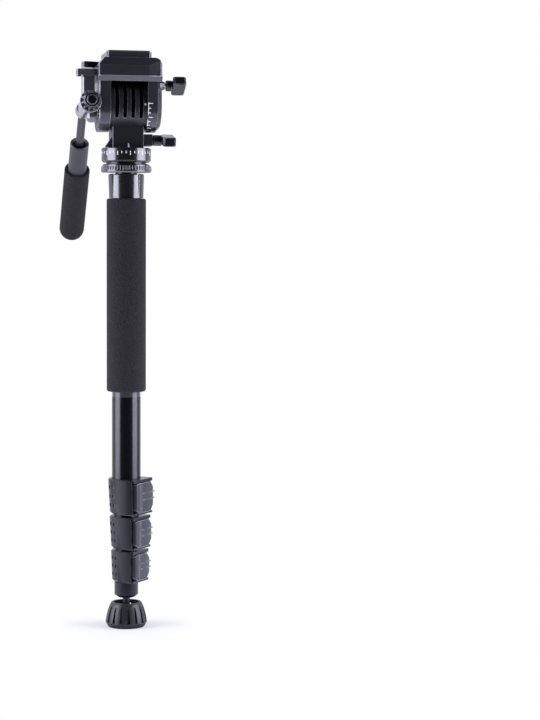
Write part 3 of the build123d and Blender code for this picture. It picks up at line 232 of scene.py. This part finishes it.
def makeRoom(facts):
    world = bpy.data.worlds.new("studioRoom")
    scene.world = world
    world.use_nodes = True
    tree = world.node_tree
    tree.nodes.clear()
    coords = tree.nodes.new("ShaderNodeTexCoord")
    split = tree.nodes.new("ShaderNodeSeparateXYZ")
    tree.links.new(coords.outputs["Generated"], split.inputs["Vector"])
    room = tree.nodes.new("ShaderNodeBackground")
    room.inputs["Color"].default_value = facts["lampColour"] + (1,)
    strength = addRange(tree, split.outputs["Y"], facts["roomTurn"], (facts["roomFront"], facts["roomFill"]))
    tree.links.new(strength, room.inputs["Strength"])
    white = tree.nodes.new("ShaderNodeBackground")
    white.inputs["Color"].default_value = facts["roomWhite"] + (1,)
    rays = tree.nodes.new("ShaderNodeLightPath")
    mixShaders(tree, rays.outputs["Is Camera Ray"], room.outputs["Background"], white.outputs["Background"],
               "ShaderNodeOutputWorld")


def makeStudio(facts):
    makeFloor(facts)
    makeSoftBox("softBoxLeft", facts["viewTurn"] - facts["boxSide"], facts)
    makeSoftBox("softBoxRight", facts["viewTurn"] + facts["boxSide"], facts)
    table = makeLamp("lightTable", *facts["tableSize"], facts["tablePower"], facts["lampColour"])
    table.location = facts["tablePlace"]
    table.rotation_euler = (pi, 0, 0)
    table.visible_camera = False
    makeRoom(facts)


makeStudio(studioFacts)
print("stage: camera and studio ready")


# Shader groups shared by the finishes
grainFacts = {"cloudScale": 38.0, "cloudDetail": 3.0, "cloudMiddle": 0.5}
wearHighlightAndShadeFacts = {
    "samples": 6,
    "edgeEnds": (0.995, 0.86),   # cosine of the turn at an edge, from none to full wear and painted highlight
    "patchScale": 160.0,
    "patchDetail": 5.0,
    "patchEnds": (0.35, 0.65),
    "dustDetail": 6.0,
    "dustLift": (0.5, 1.5),
    "paintedShadeEnds": (0.15, 0.75),    # ambient occlusion at which the painted shade goes from darkest to none
}


def newGroup(name, inputs, outputs):
    group = bpy.data.node_groups.new(name, "ShaderNodeTree")
    for label, kind, value in inputs:
        socket = group.interface.new_socket(name=label, in_out="INPUT", socket_type=kind)
        socket.default_value = value
    for label, kind in outputs:
        group.interface.new_socket(name=label, in_out="OUTPUT", socket_type=kind)
    return group, group.nodes.new("NodeGroupInput").outputs, group.nodes.new("NodeGroupOutput").inputs


def makeGrainGroup(facts):
    # fine surface grain: a height for Bump and a small change of roughness
    group, given, result = newGroup("mouldGrain", [
        ("Scale", "NodeSocketFloat", 900.0),
        ("Detail", "NodeSocketFloat", 4.0),
        ("Rough Base", "NodeSocketFloat", 0.4),
        ("Rough Spread", "NodeSocketFloat", 0.08),
    ], [("Height", "NodeSocketFloat"), ("Roughness", "NodeSocketFloat")])
    place = group.nodes.new("ShaderNodeTexCoord").outputs["Object"]
    cloud = addNoise(group, place, facts["cloudScale"], facts["cloudDetail"])
    centred = addMath(group, "SUBTRACT", cloud, facts["cloudMiddle"])
    roughness = addMath(group, "MULTIPLY_ADD", centred, given["Rough Spread"], given["Rough Base"])
    group.links.new(addNoise(group, place, given["Scale"], given["Detail"]), result["Height"])
    group.links.new(roughness, result["Roughness"])
    return group


def makeWearHighlightAndShadeGroup(facts):
    # edge wear and painted highlight: lightens the colour where the surface turns sharply, adds dust, and
    # paints shade into recesses by darkening the colour there
    group, given, result = newGroup("edgeWearHighlightAndShade", [
        ("Colour", "NodeSocketColor", (0.05, 0.05, 0.06, 1)),
        ("Worn And Highlight Colour", "NodeSocketColor", (0.3, 0.3, 0.33, 1)),
        ("Width", "NodeSocketFloat", 0.0006),
        ("Amount", "NodeSocketFloat", 0.5),
        ("Patchy", "NodeSocketFloat", 1.0),
        ("Dust", "NodeSocketFloat", 0.1),
        ("Dust Scale", "NodeSocketFloat", 55.0),
        ("Painted Shade", "NodeSocketFloat", 0.6),
        ("Painted Shade Reach", "NodeSocketFloat", 0.004),
    ], [("Colour", "NodeSocketColor")])
    place = group.nodes.new("ShaderNodeTexCoord").outputs["Object"]
    bevel = group.nodes.new("ShaderNodeBevel")
    bevel.samples = facts["samples"]
    group.links.new(given["Width"], bevel.inputs["Radius"])
    turned = group.nodes.new("ShaderNodeVectorMath")
    turned.operation = "DOT_PRODUCT"
    group.links.new(bevel.outputs["Normal"], turned.inputs[0])
    group.links.new(group.nodes.new("ShaderNodeNewGeometry").outputs["Normal"], turned.inputs[1])
    # wear together with painted highlight: the colour is lightened along sharp edges, broken into patches
    edge = addRange(group, turned.outputs["Value"], facts["edgeEnds"])
    patches = addNoise(group, place, facts["patchScale"], facts["patchDetail"])
    even = addMath(group, "SUBTRACT", 1.0, given["Patchy"])
    broken = addRange(group, patches, facts["patchEnds"], (even, 1.0))
    amount = addMath(group, "MULTIPLY", addMath(group, "MULTIPLY", edge, broken), given["Amount"])
    wornAndHighlight = addMix(group, amount, given["Colour"], given["Worn And Highlight Colour"])
    dust = addNoise(group, place, given["Dust Scale"], facts["dustDetail"])
    lifted = addRange(group, dust, (0.0, 1.0), facts["dustLift"], clamp=False)
    dusty = addMix(group, given["Dust"], wornAndHighlight, lifted, "MULTIPLY")
    # painted shade: ambient occlusion darkens the colour in recesses, under ribs and under the deck, where
    # shade falls
    shadeProbe = group.nodes.new("ShaderNodeAmbientOcclusion")
    shadeProbe.samples = facts["samples"]
    group.links.new(given["Painted Shade Reach"], shadeProbe.inputs["Distance"])
    darkest = addMath(group, "SUBTRACT", 1.0, given["Painted Shade"])
    shadeFactor = addRange(group, shadeProbe.outputs["AO"], facts["paintedShadeEnds"], (darkest, 1.0))
    group.links.new(addMix(group, 1.0, dusty, shadeFactor, "MULTIPLY"), result["Colour"])
    return group


grainGroup = makeGrainGroup(grainFacts)
wearHighlightAndShadeGroup = makeWearHighlightAndShadeGroup(wearHighlightAndShadeFacts)


def placeGroup(tree, group, values):
    node = tree.nodes.new("ShaderNodeGroup")
    node.node_tree = group
    for label, value in values.items():
        node.inputs[label].default_value = value
    return node


# Finishes: what a finish doesn't name, it takes from usualFinish; lengths in metres
usualFinish = {
    "metallic": 0.0, "ior": 1.5, "roughSpread": 0.1,
    "grainDetail": 4.0, "grainDepth": 0.0001,
    "wearAndHighlightWidth": 0.0006, "wearAndHighlightAmount": 0.4, "patchy": 1.0,
    "dust": 0.25, "dustScale": 55.0, "paintedShade": 0.6, "paintedShadeReach": 0.004,
}
# the worn colour and the wear values paint highlights along edges as well as wear; the cavity values paint
# shade into recesses
finishFacts = {
    "tubeAnodised": {
        "colour": (0.05, 0.05, 0.056), "wornAndHighlight": (0.5, 0.5, 0.53), "roughness": 0.22, "roughSpread": 0.06,
        "grainScale": 2200.0, "grainStrength": 0.04, "metallic": 0.88, "wearAndHighlightAmount": 0.25},
    "collarGloss": {
        "colour": (0.125, 0.125, 0.132), "wornAndHighlight": (0.7, 0.7, 0.73), "roughness": 0.21, "roughSpread": 0.05,
        "grainScale": 2500.0, "grainStrength": 0.02, "metallic": 0.94, "wearAndHighlightAmount": 0.7, "paintedShade": 0.92,
        "paintedShadeReach": 0.003},
    "castBlack": {
        "colour": (0.08, 0.08, 0.096), "wornAndHighlight": (0.7, 0.7, 0.76), "roughness": 0.2, "roughSpread": 0.05,
        "grainScale": 1300.0, "grainStrength": 0.05, "metallic": 0.7, "wearAndHighlightAmount": 0.85,
        "wearAndHighlightWidth": 0.0009, "patchy": 0.5, "paintedShade": 0.85, "paintedShadeReach": 0.009},
    "neckBlack": {
        "colour": (0.045, 0.045, 0.054), "wornAndHighlight": (0.7, 0.7, 0.76), "roughness": 0.36, "roughSpread": 0.08,
        "grainScale": 1300.0, "grainStrength": 0.1, "metallic": 0.75, "wearAndHighlightAmount": 0.75,
        "wearAndHighlightWidth": 0.0008, "paintedShade": 0.9, "paintedShadeReach": 0.012},
    "lockNylon": {
        "colour": (0.011, 0.011, 0.016), "wornAndHighlight": (0.25, 0.25, 0.3), "roughness": 0.2, "roughSpread": 0.06,
        "grainScale": 1500.0, "grainStrength": 0.08, "ior": 1.55, "wearAndHighlightAmount": 0.45, "paintedShade": 1.0,
        "paintedShadeReach": 0.003},
    "leverNylon": {
        "colour": (0.036, 0.036, 0.048), "wornAndHighlight": (0.5, 0.5, 0.56), "roughness": 0.3, "roughSpread": 0.08,
        "grainScale": 1400.0, "grainStrength": 0.08, "wearAndHighlightAmount": 1.0, "wearAndHighlightWidth": 0.0011,
        "patchy": 0.2, "paintedShade": 1.0, "paintedShadeReach": 0.0022},
    "knobPlastic": {
        "colour": (0.005, 0.005, 0.007), "wornAndHighlight": (0.6, 0.6, 0.66), "roughness": 0.15, "roughSpread": 0.05,
        "grainScale": 1000.0, "grainStrength": 0.08, "wearAndHighlightAmount": 0.9, "patchy": 0.5},
    "wingPlastic": {
        "colour": (0.009, 0.009, 0.012), "wornAndHighlight": (0.5, 0.5, 0.56), "roughness": 0.14, "roughSpread": 0.04,
        "grainScale": 1000.0, "grainStrength": 0.06, "ior": 1.55, "wearAndHighlightAmount": 0.9, "patchy": 0.5,
        "wearAndHighlightWidth": 0.0007},
    "sleevePlastic": {
        "colour": (0.036, 0.036, 0.044), "wornAndHighlight": (0.25, 0.25, 0.28), "roughness": 0.4, "roughSpread": 0.08,
        "grainScale": 1400.0, "grainStrength": 0.15, "ior": 1.45, "wearAndHighlightAmount": 0.3},
    "foamSkin": {
        "colour": (0.0105, 0.0098, 0.0122), "wornAndHighlight": (0.03, 0.03, 0.035), "roughness": 0.88,
        "grainScale": 620.0, "grainStrength": 1.0, "grainDepth": 0.0014, "ior": 1.4,
        "wearAndHighlightAmount": 0.05, "dust": 0.9, "dustScale": 420.0, "paintedShadeReach": 0.002},
    "footRubber": {
        "colour": (0.022, 0.022, 0.028), "wornAndHighlight": (0.12, 0.12, 0.13), "roughness": 0.36, "roughSpread": 0.12,
        "grainScale": 1200.0, "grainStrength": 0.14, "wearAndHighlightAmount": 0.3, "paintedShade": 1.0,
        "paintedShadeReach": 0.007},
    "padRubber": {
        "colour": (0.032, 0.032, 0.035), "wornAndHighlight": (0.12, 0.12, 0.12), "roughness": 0.7,
        "grainScale": 900.0, "grainStrength": 0.4, "ior": 1.45},
    "gunMetal": {
        "colour": (0.17, 0.17, 0.19), "wornAndHighlight": (0.75, 0.75, 0.8), "roughness": 0.13, "roughSpread": 0.04,
        "grainScale": 1600.0, "grainStrength": 0.04, "metallic": 0.45, "ior": 1.9, "wearAndHighlightAmount": 0.85,
        "wearAndHighlightWidth": 0.0009, "paintedShade": 0.7},
    "turnedSteel": {
        "colour": (0.5, 0.5, 0.52), "wornAndHighlight": (0.75, 0.75, 0.77), "roughness": 0.28,
        "grainScale": 1800.0, "grainStrength": 0.06, "metallic": 1.0},
    "blackScrew": {
        "colour": (0.09, 0.09, 0.1), "wornAndHighlight": (0.45, 0.45, 0.47), "roughness": 0.34,
        "grainScale": 1800.0, "grainStrength": 0.06, "metallic": 0.9, "wearAndHighlightAmount": 0.5},
    "rodBlack": {
        "colour": (0.018, 0.018, 0.023), "wornAndHighlight": (0.3, 0.3, 0.32), "roughness": 0.3, "roughSpread": 0.06,
        "grainScale": 1800.0, "grainStrength": 0.06, "ior": 1.6, "wearAndHighlightAmount": 0.2},
    "bearingWhite": {
        "colour": (0.62, 0.61, 0.57), "wornAndHighlight": (0.7, 0.7, 0.66), "roughness": 0.4, "roughSpread": 0.05,
        "grainScale": 900.0, "grainStrength": 0.05, "ior": 1.48},
    "markWhite": {
        "colour": (0.8, 0.8, 0.8), "wornAndHighlight": (0.8, 0.8, 0.8), "roughness": 0.5, "roughSpread": 0.05,
        "grainScale": 1500.0, "grainStrength": 0.1, "wearAndHighlightAmount": 0.0},
}
finishOf = {
    "tubeAnodised": ["main_tube", "leg_2_tube", "leg_3_tube", "leg_4_tube"],
    "collarGloss": ["head_collar", "platform_ring", "dial_base"],
    "gunMetal": ["handle_bracket"],
    "neckBlack": ["head_neck"],
    "castBlack": ["tilt_cradle", "axle_covers", "plate_lever", "quick_plate"],
    "lockNylon": ["lock_1_collar", "lock_2_collar", "lock_3_collar", "leg_ferrule", "top_plug"],
    "leverNylon": ["lock_1_lever", "lock_2_lever", "lock_3_lever"],
    "knobPlastic": ["handle_knob", "ring_lever"],
    "wingPlastic": ["pan_knob", "tilt_knob"],
    "sleevePlastic": ["handle_sleeve"],
    "foamSkin": ["foam_grip", "handle_grip"],
    "footRubber": ["rubber_foot"],
    "padRubber": ["plate_pad"],
    "rodBlack": ["handle_rod", "foot_stud"],
    "turnedSteel": ["head_stud", "ring_lever_pivot", "pan_spindle", "pan_knob_screw", "tilt_axle",
                    "tilt_knob_screw", "camera_screw", "screw_clip", "video_pin", "video_pin_spring",
                    "handle_bolt"],
    "blackScrew": ["lever_pivot", "bracket_screws", "lock_1_pin", "lock_2_pin", "lock_3_pin", "lock_1_bolt",
                   "lock_2_bolt", "lock_3_bolt"],
    "bearingWhite": ["leg_2_guide", "leg_3_guide", "leg_4_guide", "lock_1_clamp", "lock_2_clamp",
                     "lock_3_clamp", "pan_washer", "tilt_washers", "plate_jaw"],
}


def makeFinish(name):
    # one finish: colour with edge wear, painted edge highlights, dust and painted shade in recesses, grain
    # for roughness and bump
    facts = {**usualFinish, **finishFacts[name]}
    material = bpy.data.materials.new(name)
    material.use_nodes = True
    tree = material.node_tree
    surface = tree.nodes["Principled BSDF"]
    surface.inputs["Metallic"].default_value = facts["metallic"]
    surface.inputs["IOR"].default_value = facts["ior"]
    wear = placeGroup(tree, wearHighlightAndShadeGroup, {
        "Colour": facts["colour"] + (1,),
        "Worn And Highlight Colour": facts["wornAndHighlight"] + (1,),
        "Width": facts["wearAndHighlightWidth"],
        "Amount": facts["wearAndHighlightAmount"],
        "Patchy": facts["patchy"],
        "Dust": facts["dust"],
        "Dust Scale": facts["dustScale"],
        "Painted Shade": facts["paintedShade"],
        "Painted Shade Reach": facts["paintedShadeReach"],
    })
    tree.links.new(wear.outputs["Colour"], surface.inputs["Base Color"])
    grain = placeGroup(tree, grainGroup, {
        "Scale": facts["grainScale"],
        "Detail": facts["grainDetail"],
        "Rough Base": facts["roughness"],
        "Rough Spread": facts["roughSpread"],
    })
    tree.links.new(grain.outputs["Roughness"], surface.inputs["Roughness"])
    bump = tree.nodes.new("ShaderNodeBump")
    bump.inputs["Strength"].default_value = facts["grainStrength"]
    bump.inputs["Distance"].default_value = facts["grainDepth"]
    tree.links.new(grain.outputs["Height"], bump.inputs["Height"])
    tree.links.new(bump.outputs["Normal"], surface.inputs["Normal"])
    return material


finishes = {name: makeFinish(name) for name in finishFacts}


def dressNodes():
    for finish, names in finishOf.items():
        for name in names:
            for slot in nodes[name].material_slots:
                slot.material = finishes[finish]


dressNodes()
print("stage: finishes on", sum(len(names) for names in finishOf.values()), "nodes")


# Foam grips: turned about their own line, with the small unevenness of cut foam; lengths in mm
skinFacts = {
    "segments": 128,
    "ring": 2.0,              # length of one ring of faces along the grip
    "boreRing": 20.0,
    "inside": 0.02,           # how far the skin stays inside the grip that it replaces
    "skinMargin": 2.0,        # what stands this far outside the bore is skin
    "wobble": 0.1,            # how far the skin stands in
    "wobbleSize": 14.0,
    "arcSteps": 6,            # steps of the rounded ends
    "boreSteps": 4,           # steps of the bore's edges
    "mergeWithin": 1e-7,      # metres
    "thinEdge": 1e-8,
}
gripFacts = {
    "bore": 16.06,
    "boreEdge": 1.0,
    "round": 2.2,
    "fill": 0.95,
}
handleFacts = {
    "start": (-42.9, 58.431, 569.395),  # end of the rod's bend, where the straight line of the handle starts
    "drop": 45.0,             # degrees under the horizontal, going back
    "gripFrom": 80.7,
    "gripTo": 191.3,
    "radius": 14.65,
    "bore": 10.75,
    "boreDeep": 70.0,
    "boreEdge": 0.8,
    "lip": 1.2,
    "lipSteps": 5,
    "domeSteps": 22,
    "fill": 0.95,
}
sharpAngle = 50.0             # edges that turn more, in degrees, stay sharp


def arcPoints(centreR, centreH, radius, fromAngle, toAngle, steps):
    points = []
    for step in range(steps + 1):
        angle = radians(fromAngle + (toAngle - fromAngle) * step / steps)
        points.append((centreR + radius * cos(angle), centreH + radius * sin(angle)))
    return points


def runPoints(radius, fromHeight, toHeight, spacing):
    count = max(2, int(abs(toHeight - fromHeight) / spacing))
    return [(radius, fromHeight + (toHeight - fromHeight) * step / count) for step in range(1, count)]


def joinRows(made, here, there):
    # closes the band of faces between two loops of the same length
    for index in range(len(here)):
        after = (index + 1) % len(here)
        made.faces.new((here[index], here[after], there[after], there[index]))


def meshFrom(name, made):
    mesh = bpy.data.meshes.new(name)
    made.to_mesh(mesh)
    made.free()
    return mesh


def smoothMesh(mesh):
    mesh.shade_smooth()
    mesh.set_sharp_from_angle(angle=radians(sharpAngle))


def turnProfile(name, profile, bore, place, facts):
    # profile: closed loop of (radius, height); the points of the skin get the wobble
    made = bmesh.new()
    rows = []
    for segment in range(facts["segments"]):
        angle = 2 * pi * segment / facts["segments"]
        row = []
        for radius, height in profile:
            reach = radius
            if radius > bore + facts["skinMargin"]:
                seed = Vector((cos(angle) * radius, sin(angle) * radius, height)) / facts["wobbleSize"]
                reach += facts["wobble"] * (noise.noise(seed) - 1) / 2
            point = Vector((cos(angle) * reach, sin(angle) * reach, height)) * mm
            row.append(made.verts.new(place @ point))
        rows.append(row)
    for here, there in zip(rows, rows[1:] + rows[:1]):
        joinRows(made, here, there)
    bmesh.ops.remove_doubles(made, verts=made.verts, dist=facts["mergeWithin"])
    bmesh.ops.dissolve_degenerate(made, edges=made.edges, dist=facts["thinEdge"])
    bmesh.ops.recalc_face_normals(made, faces=made.faces)
    mesh = meshFrom(name, made)
    smoothMesh(mesh)
    return addObject(name, mesh)


def finishPiece(piece, finish, body):
    piece.data.materials.clear()
    piece.data.materials.append(finishes[finish])
    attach(piece, body)


def makeFoamGrip(facts, skin):
    low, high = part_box("foam_grip")
    radius = (high[0] - low[0]) / 2 / mm - skin["inside"]
    bottom, top = low[2] / mm, high[2] / mm
    bore, edge, bend = facts["bore"], facts["boreEdge"], facts["round"]
    profile = arcPoints(radius - bend, bottom + bend, bend, -90, 0, skin["arcSteps"])
    profile += runPoints(radius, bottom + bend, top - bend, skin["ring"])
    profile += arcPoints(radius - bend, top - bend, bend, 0, 90, skin["arcSteps"])
    profile += arcPoints(bore + edge, top - edge, edge, 90, 180, skin["boreSteps"])
    profile += runPoints(bore, top - edge, bottom + edge, skin["boreRing"])
    profile += arcPoints(bore + edge, bottom + edge, edge, 180, 270, skin["boreSteps"])
    piece = turnProfile("foamGripSkin", profile, bore, Matrix(), skin)
    finishPiece(piece, "foamSkin", "upper_tube")
    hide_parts("foam_grip")


def makeHandleGrip(facts, skin):
    # the line of the handle runs back and down from the end of the rod's bend
    place = Matrix.Translation(Vector(facts["start"]) * mm) @ Matrix.Rotation(
        radians(-90 - facts["drop"]), 4, "X")
    low, high, radius = facts["gripFrom"], facts["gripTo"], facts["radius"] - skin["inside"]
    bore, edge, lip = facts["bore"], facts["boreEdge"], facts["lip"]
    boreEnd = low + facts["boreDeep"]
    profile = arcPoints(bore + edge, low + edge, edge, 180, 270, skin["boreSteps"])
    profile += arcPoints(radius - lip, low + lip, lip, -90, 0, facts["lipSteps"])
    profile += runPoints(radius, low + lip, high - radius, skin["ring"])
    profile += arcPoints(0.0, high - radius, radius, 0, 90, facts["domeSteps"])
    profile += [(0.0, boreEnd), (bore, boreEnd)]
    profile += runPoints(bore, boreEnd, low + edge, skin["boreRing"])
    piece = turnProfile("handleGripSkin", profile, bore, place, skin)
    finishPiece(piece, "foamSkin", "handle")
    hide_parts("handle_grip")


makeFoamGrip(gripFacts, skinFacts)
makeHandleGrip(handleFacts, skinFacts)
print("stage: foam grips turned")


# Marks and ridges that repeat round an axis, made with Geometry Nodes; lengths in mm, angles in degrees.
# Those without a step of their own go all the way round.
dialTicks = {
    "count": 36, "start": 2.6, "step": 10.0, "longEvery": 3,
    "radius": 27.2, "width": 0.95, "proud": 0.08, "short": 2.5, "long": 4.4, "lean": 0.0, "rounded": False,
    "place": (0.0, 0.0, 529.0), "turn": 0.0,
}
tiltTicks = {
    "count": 10, "start": 1.2, "step": -9.9, "longEvery": 3,
    "radius": 30.0, "width": 0.9, "proud": 0.08, "short": 2.2, "long": 4.2, "lean": 0.0, "rounded": False,
    "place": (21.3, 0.0, 580.0), "turn": -90.0,
}
ringRidges = {
    "count": 54, "start": 0.0, "longEvery": 1,
    "radius": 26.88, "width": 1.5, "proud": 0.42, "short": 4.9, "long": 4.9, "lean": -8.5, "rounded": True,
    "place": (0.0, 0.0, 513.0), "turn": 0.0,
}
ridgeSides = 10


def newSocket(tree, label, kind, value=None, way="INPUT"):
    socket = tree.interface.new_socket(name=label, in_out=way, socket_type=kind)
    if value is not None:
        socket.default_value = value


def addTransform(tree, geometry, part, value):
    node = tree.nodes.new("GeometryNodeTransform")
    tree.links.new(geometry, node.inputs["Geometry"])
    setSocket(tree, node.inputs[part], value)
    return node


def makeMarkTree():
    tree = bpy.data.node_groups.new("marksRoundAxis", "GeometryNodeTree")
    newSocket(tree, "Geometry", "NodeSocketGeometry")
    newSocket(tree, "Count", "NodeSocketInt", 36)
    newSocket(tree, "Start", "NodeSocketFloat", 0.0)
    newSocket(tree, "Step", "NodeSocketFloat", 10.0)
    newSocket(tree, "Radius", "NodeSocketFloat", 0.027)
    newSocket(tree, "Width", "NodeSocketFloat", 0.001)
    newSocket(tree, "Thickness", "NodeSocketFloat", 0.0002)
    newSocket(tree, "Short", "NodeSocketFloat", 0.002)
    newSocket(tree, "Long", "NodeSocketFloat", 0.004)
    newSocket(tree, "Long Every", "NodeSocketInt", 3)
    newSocket(tree, "Lean", "NodeSocketFloat", 0.0)
    newSocket(tree, "Rounded", "NodeSocketBool", False)
    newSocket(tree, "Move", "NodeSocketVector")
    newSocket(tree, "Turn", "NodeSocketVector")
    newSocket(tree, "Material", "NodeSocketMaterial")
    newSocket(tree, "Geometry", "NodeSocketGeometry", way="OUTPUT")
    given = tree.nodes.new("NodeGroupInput").outputs
    leave = tree.nodes.new("NodeGroupOutput")
    link = tree.links.new

    # one point for each mark; the count starts at the front
    index = tree.nodes.new("GeometryNodeInputIndex").outputs[0]
    degrees = addMath(tree, "MULTIPLY_ADD", index, given["Step"], given["Start"])
    angle = addMath(tree, "RADIANS", addMath(tree, "SUBTRACT", degrees, 90.0))
    across = addMath(tree, "MULTIPLY", addMath(tree, "COSINE", angle), given["Radius"])
    along = addMath(tree, "MULTIPLY", addMath(tree, "SINE", angle), given["Radius"])
    points = tree.nodes.new("GeometryNodePoints")
    link(given["Count"], points.inputs["Count"])
    link(addVector(tree, across, along), points.inputs["Position"])

    # one mark, a millimetre long and hanging from its point: a flat bar or a rounded ridge
    bar = tree.nodes.new("GeometryNodeMeshCube")
    link(addVector(tree, given["Thickness"], given["Width"], mm), bar.inputs["Size"])
    ridge = tree.nodes.new("GeometryNodeMeshCylinder")
    ridge.inputs["Vertices"].default_value = ridgeSides
    ridge.inputs["Radius"].default_value = 0.5
    ridge.inputs["Depth"].default_value = mm
    squeeze = addTransform(tree, ridge.outputs["Mesh"], "Scale",
                           addVector(tree, given["Thickness"], given["Width"], 1.0))
    choose = tree.nodes.new("GeometryNodeSwitch")
    choose.input_type = "GEOMETRY"
    link(given["Rounded"], choose.inputs["Switch"])
    link(bar.outputs["Mesh"], choose.inputs["False"])
    link(squeeze.outputs["Geometry"], choose.inputs["True"])
    hang = addTransform(tree, choose.outputs["Output"], "Translation", (0, 0, -mm / 2))

    place = tree.nodes.new("GeometryNodeInstanceOnPoints")
    link(points.outputs[0], place.inputs["Points"])
    link(hang.outputs["Geometry"], place.inputs["Instance"])
    link(addVector(tree, None, given["Lean"], angle), place.inputs["Rotation"])
    rest = addMath(tree, "MODULO", index, given["Long Every"])
    isLong = addMath(tree, "LESS_THAN", rest, 0.5)
    extra = addMath(tree, "SUBTRACT", given["Long"], given["Short"])
    length = addMath(tree, "MULTIPLY_ADD", isLong, extra, given["Short"])
    link(addVector(tree, 1.0, 1.0, addMath(tree, "DIVIDE", length, mm)), place.inputs["Scale"])
    shift = addTransform(tree, place.outputs["Instances"], "Translation", given["Move"])
    link(given["Turn"], shift.inputs["Rotation"])
    real = tree.nodes.new("GeometryNodeRealizeInstances")
    link(shift.outputs["Geometry"], real.inputs["Geometry"])
    paint = tree.nodes.new("GeometryNodeSetMaterial")
    link(real.outputs["Geometry"], paint.inputs["Geometry"])
    link(given["Material"], paint.inputs["Material"])
    link(paint.outputs["Geometry"], leave.inputs["Geometry"])
    return tree


markTree = makeMarkTree()


def markInputs(facts, finish):
    return {
        "Count": facts["count"],
        "Start": facts["start"],
        "Step": facts.get("step", 360 / facts["count"]),
        "Radius": facts["radius"] * mm,
        "Width": facts["width"] * mm,
        "Thickness": facts["proud"] * 2 * mm,
        "Short": facts["short"] * mm,
        "Long": facts["long"] * mm,
        "Long Every": facts["longEvery"],
        "Lean": radians(facts["lean"]),
        "Rounded": facts["rounded"],
        "Move": tuple(length * mm for length in facts["place"]),
        "Turn": (0.0, radians(facts["turn"]), 0.0),
        "Material": finishes[finish],
    }


def setInputs(modifier, tree, values):
    for item in tree.interface.items_tree:
        if item.item_type == "SOCKET" and item.in_out == "INPUT" and item.name in values:
            modifier[item.identifier] = values[item.name]


def bakeMarks(name, facts, finish, body):
    # runs the tree, keeps the result as a plain mesh and drops the modifier
    holder = addObject(name + "Nodes", bpy.data.meshes.new(name + "Nodes"))
    modifier = holder.modifiers.new("nodes", "NODES")
    modifier.node_group = markTree
    setInputs(modifier, markTree, markInputs(facts, finish))
    bpy.context.view_layer.update()
    graph = bpy.context.evaluated_depsgraph_get()
    mesh = bpy.data.meshes.new_from_object(holder.evaluated_get(graph))
    holder.modifiers.clear()
    bpy.data.objects.remove(holder)
    mesh.name = name
    if facts["rounded"]:
        smoothMesh(mesh)
    piece = addObject(name, mesh)
    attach(piece, body)


bakeMarks("dialTicks", dialTicks, "markWhite", "upper_tube")
bakeMarks("tiltTicks", tiltTicks, "markWhite", "tilt_body")
bakeMarks("ringRidges", ringRidges, "collarGloss", "upper_tube")


# Painted index marks, flat shapes laid on their surface, and a thin white line along the cheek's rim;
# lengths in mm
panIndex = {
    "outline": [(-0.3, 533.4), (2.0, 533.4), (1.0, 535.4), (0.6, 537.6), (-0.4, 537.6)],
    "face": -17.0,
    "level": 0.0,
    "thick": 0.12,
    "edge": 0.03,
}
tiltPointer = {
    "outline": [(16.9, -1.0), (18.0, -1.0), (19.2, 0.0), (18.0, 1.0), (16.9, 1.0)],
    "face": -27.5,
    "level": 579.8,
    "thick": 0.12,
    "edge": 0.03,
}
# a thin white strip along the left rim of the cheek, in two spans of angles
rimLine = {
    "left": 20.45,
    "right": 21.15,
    "radius": 30.0,
    "level": 580.0,
    "spans": [(21.0, -22.0), (-35.0, -51.0)],  # degrees over the front, from top to bottom
    "step": 1.0,
    "thick": 0.12,
}


def layPlate(name, facts):
    # the outline runs right and up from the level, on a surface that faces the front
    thick = facts["thick"]
    made = bmesh.new()
    made.faces.new([made.verts.new((x * mm, y * mm, -thick / 2 * mm)) for x, y in facts["outline"]])
    rise = bmesh.ops.extrude_face_region(made, geom=made.faces[:])
    bmesh.ops.translate(made, vec=(0, 0, thick * mm),
                        verts=[item for item in rise["geom"] if isinstance(item, bmesh.types.BMVert)])
    bmesh.ops.recalc_face_normals(made, faces=made.faces)
    bmesh.ops.bevel(made, geom=made.edges[:], offset=facts["edge"] * mm, segments=1, affect="EDGES")
    made.transform(Matrix.Translation(Vector((0, facts["face"], facts["level"])) * mm)
                   @ Matrix.Rotation(radians(90), 4, "X"))
    return addObject(name, meshFrom(name, made))


def bendStrip(name, facts):
    # thin raised lines that follow the cheek's rim, one for each span of angles
    corners = [(facts["left"], -1), (facts["right"], -1), (facts["right"], 1), (facts["left"], 1)]
    made = bmesh.new()
    for start, end in facts["spans"]:
        count = int(abs(end - start) / facts["step"])
        rows = []
        for step in range(count + 1):
            angle = radians(start + (end - start) * step / count)
            row = []
            for x, out in corners:
                reach = facts["radius"] + out * facts["thick"] / 2
                point = Vector((x, -reach * cos(angle), facts["level"] + reach * sin(angle)))
                row.append(made.verts.new(point * mm))
            rows.append(row)
        for here, there in zip(rows, rows[1:]):
            joinRows(made, here, there)
        made.faces.new(rows[0])
        made.faces.new(rows[-1])
    bmesh.ops.recalc_face_normals(made, faces=made.faces)
    return addObject(name, meshFrom(name, made))


finishPiece(layPlate("panIndex", panIndex), "markWhite", "pan_body")
finishPiece(layPlate("tiltPointer", tiltPointer), "markWhite", "pan_body")
finishPiece(bendStrip("rimLine", rimLine), "markWhite", "tilt_body")
print("stage: scales, index marks and ridges on")
